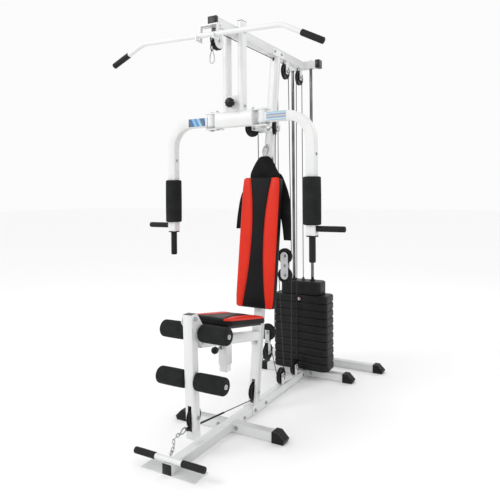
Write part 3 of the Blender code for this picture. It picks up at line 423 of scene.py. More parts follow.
def curved(points, steps=8):
    """A smooth line through the points."""
    points = [Vector(p) for p in points]
    ends = [points[0] * 2 - points[1], *points, points[-1] * 2 - points[-2]]
    line = []
    for around in zip(ends, ends[1:], ends[2:], ends[3:]):
        line += [spline_point(*around, step / steps) for step in range(steps)]
    return [*line, points[-1]]


def straight(start, end, steps=28):
    """Points spaced evenly from start to end."""
    return [Vector(start).lerp(Vector(end), step / steps) for step in range(steps + 1)]


def bolt(bm, place, axis, size, stud=0.0):
    """A hexagon head on a washer, on the face that the axis points out of. A stud may stick out of it."""
    place, axis = Vector(place), Vector(axis).normalized()
    washer = [(0, 0.0016), (size * 1.75, 0.0016), (size * 1.9, 0.0012), (size * 1.9, 0), (0, 0)]
    lathe(bm, washer, place, axis, 24)
    turn = axis.to_track_quat("Z", "Y").to_matrix().to_4x4()
    lift = Matrix.Translation(place + axis * (0.0015 + size * 0.4)) @ turn
    head = bmesh.ops.create_cone(
        bm, cap_ends=True, segments=6, radius1=size * 1.2, radius2=size * 1.2, depth=size * 0.8, matrix=lift
    )["verts"]
    edges = list({edge for vert in head for edge in vert.link_edges})
    bmesh.ops.bevel(bm, geom=edges, offset=size * 0.09, segments=2, profile=0.5, affect="EDGES", material=-1)
    if stud:
        tip = place + axis * (size * 0.8 + 0.0015)
        profile = [(0, stud), (size * 0.5, stud), (size * 0.6, stud - 0.001), (size * 0.6, 0), (0, 0)]
        lathe(bm, profile, tip, axis, 16)


def bolts(name, body, spots):
    """One piece of several bolts. Each spot is a place, an axis, a size and, for some, the stud's length."""
    bm = bmesh.new()
    for spot in spots:
        bolt(bm, *spot)
    piece(name, bm, ZINC, body, angle=30)


def skin(node, material, angle=50):
    """The node's own shape with merged corners and smooth rounding, in place of the node."""
    bm = bmesh.new()
    bm.from_mesh(frame["nodes"][node].data)
    bmesh.ops.remove_doubles(bm, verts=bm.verts, dist=2e-5)
    bmesh.ops.dissolve_limit(
        bm, angle_limit=0.004, verts=bm.verts, edges=bm.edges, use_dissolve_boundaries=False
    )
    piece(node + "_shape", bm, material, BODY_OF[node], node, angle)


# ---------------------------------------------------------------- stage, camera and light

def make_stage():
    """A white room: a pale floor, an even sky and three soft lamps."""
    bm = bmesh.new()
    bmesh.ops.create_grid(bm, x_segments=1, y_segments=1, size=40.0)
    mesh = bpy.data.meshes.new("studio_floor")
    bm.to_mesh(mesh)
    bm.free()
    floor = bpy.data.objects.new("studio_floor", mesh)
    bpy.context.scene.collection.objects.link(floor)
    pale = bpy.data.materials.new("studio_floor_pale")
    pale.use_nodes = True
    shader = pale.node_tree.nodes["Principled BSDF"]
    shader.inputs["Base Color"].default_value = (0.97, 0.97, 0.97, 1)
    shader.inputs["Roughness"].default_value = 0.9
    mesh.materials.append(pale)

    world = bpy.data.worlds.new("studio")
    world.use_nodes = True
    sky = world.node_tree.nodes["Background"]
    sky.inputs["Color"].default_value = (1, 1, 1, 1)
    sky.inputs["Strength"].default_value = 0.97
    bpy.context.scene.world = world
    for name, place, aim, size, power in (
        ("key_light", (-2.4, -3.6, 3.6), (0, 0, 1.0), 1.8, 62),
        ("fill_light", (3.4, -2.6, 2.4), (0, 0, 0.9), 2.0, 8),
        ("rear_light", (1.5, 3.6, 3.4), (0, 0, 1.0), 2.0, 12),
    ):
        data = bpy.data.lights.new(name, "AREA")
        data.size = size
        data.energy = power
        lamp = bpy.data.objects.new(name, data)
        lamp.location = place
        lamp.rotation_euler = (Vector(place) - Vector(aim)).to_track_quat("Z", "Y").to_euler()
        bpy.context.scene.collection.objects.link(lamp)


def make_camera():
    """A camera in front of the machine, on its +X side, at chest height and looking nearly level."""
    turn, rise, roll = math.radians(29.6998), math.radians(0.0794), math.radians(-0.446)
    ahead = Vector((-math.sin(turn) * math.cos(rise), math.cos(turn) * math.cos(rise), math.sin(rise)))
    right = Vector((math.cos(turn), math.sin(turn), 0))
    up = right.cross(ahead)
    rolled_right = right * math.cos(roll) + up * math.sin(roll)
    rolled_up = -right * math.sin(roll) + up * math.cos(roll)
    data = bpy.data.cameras.new("studio_camera")
    data.sensor_width = 36
    data.lens = 38.106
    data.shift_y = -0.11
    data.clip_end = 200
    camera = bpy.data.objects.new("studio_camera", data)
    basis = Matrix((rolled_right, rolled_up, -ahead)).transposed()
    camera.matrix_world = Matrix.Translation(at(1.4639, -1.8155, 1.2152)) @ basis.to_4x4()
    bpy.context.scene.collection.objects.link(camera)
    bpy.context.scene.camera = camera
    bpy.context.scene.view_settings.view_transform = "Standard"


make_stage()
make_camera()


# ---------------------------------------------------------------- cables

GROOVE_LINE = 0.0444  # from a wheel's centre to the middle of the cable in its groove
JACKET_RADIUS = 0.0025
TOP_FRONT, TOP_REAR, TOP_STACK = at(0, 0.425, 2.0), at(0, 1.215, 2.0), at(0, 1.4256, 2.0)
BASE_FRONT, BASE_REAR = at(0, 1.120, 0.1025), at(0, 1.315, 0.1025)
LOW, LEG = at(0, 0.7775, 0.118), at(0, 0.203, 0.183)
UPPER_HIGH, UPPER_LOW = at(0, 1.190, 0.834), at(0, 1.190, 0.713)
LOWER_HIGH, LOWER_LOW = at(0, 0.953, 0.410), at(0, 0.947, 0.295)
SWIVEL_AIM = Vector((0.350, -0.937, 0)).normalized()
HOOK_END, ARM_RING_Z = at(0, 0.3806, 1.9868), 1.5905
TO_UPPER, TO_LOWER = ("frame", "pulley_block_upper"), ("frame", "pulley_block_lower")


def wrap(centre, first, second, start, end):
    """A cable's way round a wheel, in degrees from its first direction towards its second."""
    steps = max(2, math.ceil(abs(end - start) / 7))
    points = []
    for step in range(steps + 1):
        angle = math.radians(start + (end - start) * step / steps)
        points.append(Vector(centre) + GROOVE_LINE * (math.cos(angle) * first + math.sin(angle) * second))
    return points


def crossing(first, second):
    """For a cable that crosses between two wheels: the way from one to the other, and the angle off it."""
    gap = Vector((second.y - first.y, second.z - first.z))
    return math.degrees(math.atan2(gap.y, gap.x)), math.degrees(math.acos(2 * GROOVE_LINE / gap.length))


def cable(name, points, node, body=None, between=None, radius=JACKET_RADIUS):
    """A stretch of steel cable: on one body, or between the two that its ends are on."""
    bm = bmesh.new()
    wire(bm, points, radius, 4)
    made = piece(name, bm, JACKET, body, node, 60)
    if between:
        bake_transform(made)


def string_lat_cable():
    """From the hook over the two top pulleys, down to the upper block, round it and up to the anchor."""
    run = [*straight(HOOK_END, TOP_FRONT - Y * GROOVE_LINE, 2)[:-1], *wrap(TOP_FRONT, Y, Z, 180, 90)]
    cable("lat_cable_run", [*run, *wrap(TOP_REAR, Y, Z, 90, 0)], "lat_cable", "frame")
    down = straight(TOP_REAR + Y * GROOVE_LINE, UPPER_HIGH + X * GROOVE_LINE)
    cable("lat_cable_drop", down, "lat_cable", between=TO_UPPER)
    cable("lat_cable_loop", wrap(UPPER_HIGH, X, Z, 0, -180), "lat_cable", "pulley_block_upper")
    up = straight(at(-0.022, 1.152, 2.0605), UPPER_HIGH - X * GROOVE_LINE)
    cable("lat_cable_return", up, "lat_cable", between=TO_UPPER)


def string_main_cable():
    """From the stack over the top, under the rear base pulley, over the upper block, under the front base
    pulley, over the lower block and under the low pulley. Returns its last stretch."""
    head_top = Vector((0, STACK_Y - MIDDLE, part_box("head_plate")[1].z))
    drop = straight(TOP_STACK + Y * GROOVE_LINE, head_top)
    cable("stack_cable_drop", drop, "stack_cable", between=("frame", "weight_stack"))
    under_rear = wrap(BASE_REAR, Y, Z, -180, 0)
    cable("main_cable_run", [*under_rear, *wrap(TOP_STACK, Y, Z, 180, 0)], "main_cable", "frame")
    rise = straight(under_rear[0], UPPER_LOW + X * GROOVE_LINE)
    cable("main_cable_rise_rear", rise, "main_cable", between=TO_UPPER)
    cable("main_cable_loop", wrap(UPPER_LOW, X, Z, 180, 0), "main_cable", "pulley_block_upper")
    heading, spread = crossing(LOWER_LOW, BASE_FRONT)
    leave_block, meet_base = heading + spread, heading + spread - 180
    under_front = wrap(BASE_FRONT, Y, Z, meet_base, 0)
    rise = straight(under_front[-1], UPPER_LOW - X * GROOVE_LINE)
    cable("main_cable_rise_front", rise, "main_cable", between=TO_UPPER)
    cable("main_cable_under_base", under_front, "main_cable", "frame")
    heading, spread = crossing(LOW, LOWER_LOW)
    leave_low, meet_block = heading - spread, heading - spread + 180
    over = wrap(LOWER_LOW, Y, Z, meet_block, leave_block)
    cable("main_cable_block_rear", straight(under_front[0], over[-1]), "main_cable", between=TO_LOWER)
    cable("main_cable_over_block", over, "main_cable", "pulley_block_lower")
    under_low = wrap(LOW, Y, Z, -96.5, leave_low)
    cable("main_cable_block_front", straight(under_low[-1], over[0]), "main_cable", between=TO_LOWER)
    cable("main_cable_under_low", under_low, "main_cable", "frame")
    return under_low


def string_leg_cable(low_end):
    """From the low pulley, through its rubber sleeve and under the leg developer's pulley, to the low bar."""
    leg_start = LEG + (low_end - LOW)
    toward = (low_end - leg_start).normalized()
    stop = leg_start - toward * 0.046
    cable("leg_cable_run", straight(low_end, leg_start, 40), "leg_cable", between=("frame", "leg_developer"))
    cable("leg_cable_end", straight(leg_start, stop, 4), "leg_cable", "leg_developer")
    cable("leg_cable_tail", straight(stop, stop + toward * 0.165, 4), None, "low_bar", radius=0.0021)
    front, back = at(0, 0.252, 0).y, at(0, 0.47, 0).y
    inside = [point for point in straight(low_end, leg_start, 60) if front < point.y < back]
    line = [(*inside[0], 0.7), (*inside[0].lerp(inside[1], 0.1), 1.0), *inside[1:-1], (*inside[-1], 0.8)]
    bm = bmesh.new()
    wire(bm, line, 0.0046, 5)
    made = piece("leg_cable_sleeve", bm, RUBBER, None, angle=50)
    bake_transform(made)


def string_butterfly_cable():
    """From each arm's ring over its swivel pulley, down and under the lower block."""
    for hand, side in HANDS:
        centre = at(side * SWIVEL_X, SWIVEL_Y, SWIVEL_Z)
        turn = wrap(centre, Vector((side * SWIVEL_AIM.x, SWIVEL_AIM.y, 0)), Z, 90, 180)
        pull = straight(turn[0], at(side * 0.164, 0.6525, ARM_RING_Z))
        cable(f"butterfly_cable_pull_{hand}", pull, "butterfly_cable", between=("frame", "press_frame"))
        cable(f"butterfly_cable_turn_{hand}", turn, "butterfly_cable", "frame")
        drop = straight(turn[-1], LOWER_HIGH + X * side * GROOVE_LINE)
        cable(f"butterfly_cable_drop_{hand}", drop, "butterfly_cable", between=TO_LOWER)
    cable("butterfly_cable_loop", wrap(LOWER_HIGH, X, Z, 0, -180), "butterfly_cable", "pulley_block_lower")


def make_ferrules():
    bm = bmesh.new()
    lathe(bm, rounded(0.0055, 0.011, 0.001), at(-0.0223, 1.1524, 2.052), Z, 16)
    lathe(bm, rounded(0.0048, 0.010, 0.001), HOOK_END + Z * 0.012, Z, 16)
    piece("cable_ferrules", bm, ZINC, "frame")


string_lat_cable()
low_pulley_wrap = string_main_cable()
string_leg_cable(low_pulley_wrap[0])
string_butterfly_cable()
make_ferrules()


# ---------------------------------------------------------------- frame tubes

def make_foot_caps():
    """Angular rubber caps on the ends of the three stabilizers."""
    outline = [
        (-0.0046, 0), (-0.0046, 0.0526), (0.0014, 0.0566), (0.0302, 0.0566), (0.0686, 0.0184), (0.0586, 0)
    ]
    width = 0.0574
    for name, tube_y, half in (("front", 0.519, 0.262), ("middle", 1.4815, 0.279), ("rear", 1.759, 0.397)):
        for hand, side in HANDS:
            bm = bmesh.new()
            corners = [bm.verts.new(at(side * (half + along), tube_y - width / 2, z)) for along, z in outline]
            face = bm.faces.new(corners)
            far = bmesh.ops.extrude_face_region(bm, geom=[face])["geom"]
            moved = [part for part in far if isinstance(part, bmesh.types.BMVert)]
            bmesh.ops.translate(bm, vec=(0, width, 0), verts=moved)
            bmesh.ops.recalc_face_normals(bm, faces=bm.faces)
            edges = [edge for edge in bm.edges if max(vert.co.z for vert in edge.verts) > 0.001]
            bmesh.ops.bevel(
                bm, geom=edges, offset=0.0022, segments=3, profile=0.5, affect="EDGES", material=-1
            )
            piece(f"{name}_foot_cap_{hand}", bm, RUBBER, "frame", angle=35)


def make_foot_plate():
    """The tread of the foot plate: two sheets with raised bars that lie across each other."""
    bm = bmesh.new()
    box(bm, at(-0.1469, -0.0003, 0.0037), at(-0.0256, 0.1058, 0.0049), 0.0004, 1)
    box(bm, at(0.0256, -0.0003, 0.0037), at(0.1469, 0.1058, 0.0049), 0.0004, 1)
    for side in (-1, 1):
        for row in range(5):
            for column in range(6):
                place = at(side * (0.040 + 0.0185 * column), 0.014 + 0.0195 * row, 0.0053)
                turn = Matrix.Rotation(math.radians(45 if (row + column) % 2 else -45), 3, "Z")
                low = place - Vector((0.0055, 0.0014, 0.0006))
                high = place + Vector((0.0055, 0.0014, 0.0004))
                box(bm, low, high, 0.0003, 1, turn)
    piece("foot_plate_tread", bm, PLATE_WHITE, "frame")


def make_base():
    skin("base_frame", POWDER_COAT)
    skin("rear_stabilizer", POWDER_COAT)
    make_foot_caps()
    bm = bmesh.new()
    box(bm, at(-0.02475, 0.0003, 0.00125), at(0.02475, 0.0028, 0.04975), 0.0012)
    piece("beam_front_plug", bm, PLASTIC, "frame")
    make_foot_plate()
    bm = bmesh.new()
    for y in (0.519, 1.4815):
        for side in (-1, 1):
            low, high = sorted((side * BEAM_HALF, side * 0.0275))
            box(bm, at(low, y - 0.031, 0.004), at(high, y - BEAM_HALF, 0.047), 0.0006, 1)
            box(bm, at(low, y + BEAM_HALF, 0.004), at(high, y + 0.031, 0.047), 0.0006, 1)
    piece("crossing_brackets", bm, POWDER_COAT, "frame")
    spots = []
    for side in (-1, 1):
        spots += [(at(side * 0.0287, y, 0.027), X * side, 0.006, 0.004) for y in (0.742, 0.868)]
        spots += [(at(side * 0.055, y, 0.028), -Y, 0.006) for y in (0.4938, 1.4563)]
        spots += [(at(side * BEAM_HALF, y, 0.026), X * side, 0.0055) for y in (0.630, 1.400)]
        spots.append((at(side * 0.060, 1.7337, 0.028), -Y, 0.006))
        spots += [(axle + X * side * 0.0145, X * side, 0.006, 0.003) for axle in (BASE_FRONT, BASE_REAR)]
    bolts("base_bolts", "frame", spots)


def make_upright():
    skin("upright", POWDER_COAT)
    spots = []
    for side in (-1, 1):
        spots.append((at(side * 0.0252, upright_face(0.113) + 0.025, 0.113), X * side, 0.0055, 0.003))
        spots += [(at(side * 0.0287, y, 2.080), X * side, 0.0055, 0.003) for y in (1.020, 1.108)]
        spots.append((at(side * 0.0252, upright_face(1.433) + 0.018, 1.433), X * side, 0.0085))
    for z in (0.388, 0.512):
        spots.append((at(0, upright_face(z) - 0.0057, z), Vector((0, -1, LEAN)), 0.0075, 0.002))
    bolts("upright_bolts", "frame", spots)


def make_top():
    skin("top_beam", POWDER_COAT)
    bm = bmesh.new()
    box(bm, at(-0.0256, 0.3815, 2.0608), at(0.0256, 0.4005, 2.1128), 0.0016)
    for side in (-1, 1):
        low, high = sorted((side * 0.107, side * 0.1363))
        box(bm, at(low, 1.4455, 2.0600), at(high, 1.4984, 2.1140), 0.002, 2)
    piece("top_plugs", bm, PLASTIC, "frame")
    spots = []
    for side in (-1, 1):
        spots.append((TOP_FRONT + X * side * 0.0147, X * side, 0.0065, 0.002))
        spots += [(axle + X * side * 0.0146, X * side, 0.0065, 0.002) for axle in (TOP_REAR, TOP_STACK)]
        spots.append((at(side * ROD_X, STACK_Y, 2.1122), Z, 0.006))
    spots.append((at(0, 1.400, 2.1122), Z, 0.006))
    spots.append((at(-0.012, 1.152, 2.1120), Z, 0.0055))
    bolts("top_bolts", "frame", spots)


def make_guide_rods():
    for hand, side in HANDS:
        bm = bmesh.new()
        profile = [(0, 0.0), (0.0100, 0.0), (0.0100, -2.010), (0.0096, -2.0108), (0, -2.0108)]
        lathe(bm, profile, at(side * ROD_X, STACK_Y, 2.0615), Z, 48)
        piece(f"guide_rod_tube_{hand}", bm, DARK_ROD, "frame", f"guide_rod_{hand}")
    bm = bmesh.new()
    for side in (-1, 1):
        ring = [(0.0104, 0.012), (0.0165, 0.012), (0.0175, 0.010), (0.0175, 0.0), (0.0104, 0.0)]
        lathe(bm, ring, at(side * ROD_X, STACK_Y, 0.0507), Z, 32)
    piece("rod_foot_collars", bm, RUBBER, "frame")


make_base()
make_upright()
make_top()
make_guide_rods()


# ---------------------------------------------------------------- pulleys and blocks

def pulley(name, centre, axis, body, node=None):
    """A nylon wheel with a rounded groove, a thin web with ribs and a hub."""
    bm = bmesh.new()
    half, rim = 0.009, 0.049
    turns = (1.4, 0.9, 0.4, 0, -0.4, -0.9, -1.4)
    groove = [(0.0417 + 0.0030 * (1 - math.cos(a)), 0.0034 * math.sin(a)) for a in turns]
    outer = [(0.0065, half), (0.0130, half), (0.0138, half - 0.0008), (0.0145, 0.0040), (0.0375, 0.0034)]
    outer += [(0.0395, 0.0080), (0.0405, half - 0.0006), (0.0470, half - 0.0004)]
    outer += [(rim - 0.0004, half - 0.0012), (rim, half - 0.0022), (rim - 0.0010, 0.0052)]
    under = [(r, -h) for r, h in reversed(outer)]
    lathe(bm, [*outer, *groove, *under], (0, 0, 0), Z, 56)
    for step in range(6):
        turn = Matrix.Rotation(math.radians(60 * step), 3, "Z")
        for side in (-1, 1):
            low, high = sorted((side * 0.0028, side * 0.0062))
            box(bm, (0.0135, -0.0013, low), (0.0388, 0.0013, high), 0.0004, 1, turn, Vector((0, 0, 0)))
    place = Matrix.Translation(centre) @ Vector(axis).to_track_quat("Z", "Y").to_matrix().to_4x4()
    bmesh.ops.transform(bm, matrix=place, verts=bm.verts)
    piece(name, bm, NYLON, body, node, 35)


def make_swivel_pulleys():
    spots = []
    for hand, side in HANDS:
        centre = at(side * SWIVEL_X, SWIVEL_Y, SWIVEL_Z)
        across = Vector((-side * SWIVEL_AIM.y, SWIVEL_AIM.x, 0))
        node = f"swivel_pulley_{hand}"
        pulley(node + "_wheel", centre, across, BODY_OF[node], node)
        for out in (-1, 1):
            spots.append((centre + across * out * 0.0143, across * out, 0.006, 0.003))
    skin("butterfly_pulley_bracket", POWDER_COAT)
    spots.append((at(0, 0.9794, SWIVEL_Z), -Y, 0.006))
    bolts("swivel_bolts", "frame", spots)


PLATE_OUT, HEAD_OUT = 0.0118, 0.0134  # from a block's middle to a cheek plate's middle and to its outside
PLATE_HALF = 0.0015  # half a cheek plate's thickness


def straight_cheeks(bm, high, low):
    """Two long plates with round ends, for wheels that lie in one plane. Returns the spots for the bolts."""
    spots = []
    middle, tall = (high + low) / 2, (high - low).length / 2
    for side in (-1, 1):
        corners = []
        for end in (1, -1):
            for step in range(9):
                angle = math.pi * step / 8
                reach = Vector((math.cos(angle) * end, 0, math.sin(angle) * end)) * 0.0255
                across = Y * (side * PLATE_OUT) - Y * PLATE_HALF
                corners.append(bm.verts.new(middle + across + Z * tall * end + reach))
        face = bm.faces.new(corners)
        far = bmesh.ops.extrude_face_region(bm, geom=[face])["geom"]
        moved = [part for part in far if isinstance(part, bmesh.types.BMVert)]
        bmesh.ops.translate(bm, vec=(0, PLATE_HALF * 2, 0), verts=moved)
        spots += [(axle + Y * side * HEAD_OUT, Y * side, 0.0065, 0.003) for axle in (high, low)]
        spots.append((middle + Y * side * HEAD_OUT, Y * side, 0.0055))
    return spots


def turned_cheeks(bm, high, low):
    """Two short forks, one turned across the other. Returns the spots for its bolts."""
    spots = []
    middle = (high + low) / 2
    for side in (-1, 1):
        out = side * PLATE_OUT
        y = high.y + out
        box(bm, (-0.0145, y - PLATE_HALF, middle.z - 0.004), (0.0145, y + PLATE_HALF, high.z + 0.013))
        back, front = low.y - 0.0145, low.y + 0.0145
        box(bm, (out - PLATE_HALF, back, low.z - 0.013), (out + PLATE_HALF, front, middle.z + 0.004))
        spots.append((high + Y * side * HEAD_OUT, Y * side, 0.0065, 0.003))
        spots.append((low + X * side * HEAD_OUT, X * side, 0.0065, 0.003))
    joint = Vector((0.0135, 0.0155, 0.0035))
    box(bm, middle - joint, middle + joint)
    return spots


def make_block(name, high, low, low_axis, make_cheeks):
    """A floating block: two wheels between grey cheek plates."""
    body = BODY_OF[name]
    pulley(name + "_wheel_high", high, Y, body)
    pulley(name + "_wheel_low", low, low_axis, body)
    bm = bmesh.new()
    spots = make_cheeks(bm, high, low)
    bmesh.ops.recalc_face_normals(bm, faces=bm.faces)
    piece(name + "_cheeks", bm, CHEEK, body, name, 35)
    bolts(name + "_bolts", body, spots)


def make_pulleys():
    for node, centre in (
        ("top_front_pulley", TOP_FRONT), ("top_rear_pulley_1", TOP_REAR), ("top_rear_pulley_2", TOP_STACK),
        ("base_pulley_1", BASE_FRONT), ("base_pulley_2", BASE_REAR), ("upright_low_pulley", LOW), (
            "leg_pulley", LEG
        ),
    ):
        pulley(node + "_wheel", centre, X, BODY_OF[node], node)
    make_swivel_pulleys()
    make_block("pulley_block_upper", UPPER_HIGH, UPPER_LOW, Y, straight_cheeks)
    make_block("pulley_block_lower", LOWER_HIGH, LOWER_LOW, X, turned_cheeks)


make_pulleys()


# ---------------------------------------------------------------- weight stack

def plate_outline(half_x, half_y, corner, notched):
    """A rectangle with round corners, on the stack's centre, with a selector notch in its front side."""
    centre = Vector((0, STACK_Y - MIDDLE, 0))
    outline = []
    for sign_x, sign_y, start in ((1, 1, 0), (-1, 1, 90), (-1, -1, 180), (1, -1, 270)):
        middle = centre + Vector((sign_x * (half_x - corner), sign_y * (half_y - corner), 0))
        for step in range(9):
            angle = math.radians(start + 11.25 * step)
            outline.append(middle + corner * Vector((math.cos(angle), math.sin(angle), 0)))
        if notched and (sign_x, sign_y) == (-1, -1):
            front = centre.y - half_y
            notch = ((-0.0205, front), (-0.0195, front + 0.0125), (0.0195, front + 0.0125), (0.0205, front))
            outline += [Vector((x, y, 0)) for x, y in notch]
    return outline


def make_plate(name, low, high, half_x, half_y, corner, layers, body, node, notched):
    """A moulded plate. A layer is a share of its height, metres added to that, and the side's way out."""
    bm = bmesh.new()
    outline = plate_outline(half_x, half_y, corner, notched)
    face = bm.faces.new([bm.verts.new(point + Z * low) for point in outline])
    edges = list(face.edges)
    rings = [list(face.verts)]
    for _ in layers[1:]:
        below = [vert.co.copy() for vert in rings[-1]]
        made = bmesh.ops.extrude_edge_only(bm, edges=edges)["geom"]
        edges = [part for part in made if isinstance(part, bmesh.types.BMEdge) and part.is_boundary]
        fresh = {vert for edge in edges for vert in edge.verts}
        rings.append([min(fresh, key=lambda vert: (vert.co - place).length) for place in below])
        bmesh.ops.translate(bm, vec=(0, 0, 0.001), verts=list(fresh))
    for ring, (share, extra, out) in zip(rings, layers):
        z = low + (share * (high - low) + extra)
        for vert, point in zip(ring, outline):
            x, y = point.x, point.y - (STACK_Y - MIDDLE)
            out_x = math.copysign(1, x) * out if abs(x) > half_x - corner - 1e-6 else 0
            out_y = math.copysign(1, y) * out if abs(y) > half_y - corner - 1e-6 else 0
            vert.co = Vector((point.x + out_x, point.y + out_y, z))
    bm.faces.new(rings[-1])
    bmesh.ops.recalc_face_normals(bm, faces=bm.faces)
    piece(name, bm, SHELL, body, node, 32)


def make_selector_pin():
    low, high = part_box("selector_pin")
    head = Vector(((low.x + high.x) / 2, low.y, (low.z + high.z) / 2))
    bm = bmesh.new()
    profile = [(0, 0.0), (0.0080, 0.0), (0.0100, 0.0012), (0.0105, 0.003), (0.0105, 0.0085), (0.0090, 0.0108)]
    profile += [(0.0042, 0.0110), (0.0040, 0.068), (0.0025, 0.0710), (0, 0.0710)]
    lathe(bm, profile, head, Y, 36)
    piece("selector_pin_shank", bm, CHROME, "selector_pin", "selector_pin")
    bm = bmesh.new()
    lathe(bm, [(0.0102, 0.0030), (0.01095, 0.0036), (0.01095, 0.0078), (0.0102, 0.0084)], head, Y, 36)
    piece("selector_pin_band", bm, RED, "selector_pin")


def make_stack():
    """Ten plates with a rib round the waist of each, and the smaller head weight that the cable lifts."""
    count, pitch, bottom = 10, 0.0493, 0.062
    lip = [(0, 0, -0.0060), (0, 0.0025, -0.0028), (0, 0.0070, -0.0009), (0, 0.0125, 0.0)]
    waist = [(0.42, 0, 0.0004), (0.48, 0, -0.0008), (0.52, 0, -0.0008), (0.58, 0, 0.0004)]
    ribbed = [*lip, *waist, *[(1, -extra, out) for _, extra, out in reversed(lip)]]
    for index in range(count):
        low = bottom + pitch * index
        node = {0: "weight_plates", count - 1: "top_weight_plate"}.get(index)
        body = "weight_stack" if index == count - 1 else "frame"
        name, high = f"weight_plate_{index + 1:02d}", low + pitch - 0.0006
        make_plate(name, low + 0.0004, high, 0.1925, 0.0765, 0.030, ribbed, body, node, True)
    head_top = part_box("head_plate")[1].z - 0.012
    plain = [(0, 0, -0.004), (0, 0.003, -0.001), (0, 0.008, 0.0)]
    plain += [(1, -0.012, 0.0), (1, -0.006, -0.0015), (1, -0.0022, -0.0045), (1, 0, -0.010)]
    low = bottom + pitch * count + 0.0004
    make_plate(
        "head_weight", low, head_top, 0.1415, 0.0635, 0.026, plain, "weight_stack", "head_plate", False
    )
    bm = bmesh.new()
    stem = [(0, 0), (0.0105, 0), (0.0105, -0.55), (0.0085, -0.553), (0, -0.553)]
    lathe(bm, stem, at(0, STACK_Y, head_top + 0.009), Z, 32)
    for step in range(count - 1):
        z = bottom + pitch * (step + 0.45) + 0.0002
        ring = [(0.0104, 0.0015), (0.01085, 0.0010), (0.01085, -0.0010), (0.0104, -0.0015)]
        lathe(bm, ring, at(0, STACK_Y, z), Z, 28)
    piece("selector_stem", bm, CHROME, "weight_stack")
    bm = bmesh.new()
    for x in (-ROD_X, ROD_X):
        ring = [(0.0108, 0.010), (0.0165, 0.010), (0.0180, 0.008), (0.0180, 0.0), (0.0108, 0.0)]
        lathe(bm, ring, at(x, STACK_Y, head_top - 0.0002), Z, 32)
    cone = [(0, 0.020), (0.0060, 0.020), (0.0075, 0.017), (0.0115, 0.004), (0.0150, 0.0), (0, 0)]
    lathe(bm, cone, at(0, STACK_Y, head_top - 0.0002), Z, 28)
    piece("head_bushings", bm, PLASTIC, "weight_stack")
    make_selector_pin()
    bm = bmesh.new()
    for x in (-0.125, 0.125):
        box(bm, at(x - 0.035, 1.456, 0.0510), at(x + 0.035, 1.506, 0.0618), 0.002)
    piece("stack_bumpers", bm, RUBBER, "frame")


make_stack()


# ---------------------------------------------------------------- upholstery

PAD_CORNER, PAD_ROLL = 0.022, 0.0095  # the radii of a pad's outline and of its top edge


def eased(value, distance, radius):
    """The value less what a round edge takes off at this distance from it."""
    if distance >= radius:
        return value
    return value - (radius - math.sqrt(max(0.0, radius * radius - (radius - distance) ** 2)))


def red_from(panel, half):
    """Where the red flank starts: at the panel's edge, but never nearer than this to the outline."""
    return min(panel, half - 0.030)


def pad_columns(half, inner):
    """The columns across a pad's top, close together at its seams and at its edges."""
    line = [inner * share for share in (0.0, 0.35, 0.65, 0.85)]
    line += [inner + step for step in (-0.0045, -0.0018, 0.0, 0.0018, 0.0045)]
    line += [inner + 0.0045 + (half - 0.016 - inner - 0.0045) * share for share in (0.25, 0.5, 0.72)]
    line += [half - step for step in (0.016, 0.010, 0.0055, 0.0022, 0.0)]
    return [-u for u in reversed(line[1:])] + line


def pad_height(u, half, inner, crowned, edge):
    """The height of a pad's top: crowned, sunk along the seams, full in the flanks and round at the edge."""
    height = eased(crowned, edge, PAD_ROLL)
    seam_gap = abs(abs(u) - inner)
    height -= 0.0030 * math.exp(-((seam_gap / 0.0030) ** 2)) * min(1.0, edge / 0.010)
    if abs(u) > inner:
        flank = max(0.0, (abs(u) - inner) / max(1e-4, half - inner))
        return height + 0.0025 * math.sin(math.pi * min(1.0, flank))
    return height + 0.0015 * math.cos(u / inner * math.pi / 2)


def pad_sides(bm, length, thickness):
    """The sides of a pad, a little full, drawn in under its bottom edge and closed there."""
    edges = [edge for edge in bm.edges if edge.is_boundary]
    for depth, pull in ((0.22, -0.0010), (0.50, -0.0020), (0.80, -0.0005), (1.0, 0.0035)):
        made = bmesh.ops.extrude_edge_only(bm, edges=edges)["geom"]
        edges = [part for part in made if isinstance(part, bmesh.types.BMEdge) and part.is_boundary]
        for wall in {part for part in made if isinstance(part, bmesh.types.BMFace)}:
            wall.material_index = 1
        for vert in {vert for edge in edges for vert in edge.verts}:
            t = min(1.0, max(0.0, vert.co.y / length))
            nearest = min(max(vert.co.y, PAD_CORNER * 1.5), length - PAD_CORNER * 1.5)
            inward = (Vector((0, nearest, 0)) - Vector((vert.co.x, vert.co.y, 0))).normalized()
            vert.co.z = (thickness(t) - PAD_ROLL) * (1 - depth)
            vert.co += inward * pull
    for bottom in bmesh.ops.contextual_create(bm, geom=edges)["faces"]:
        bottom.material_index = 1


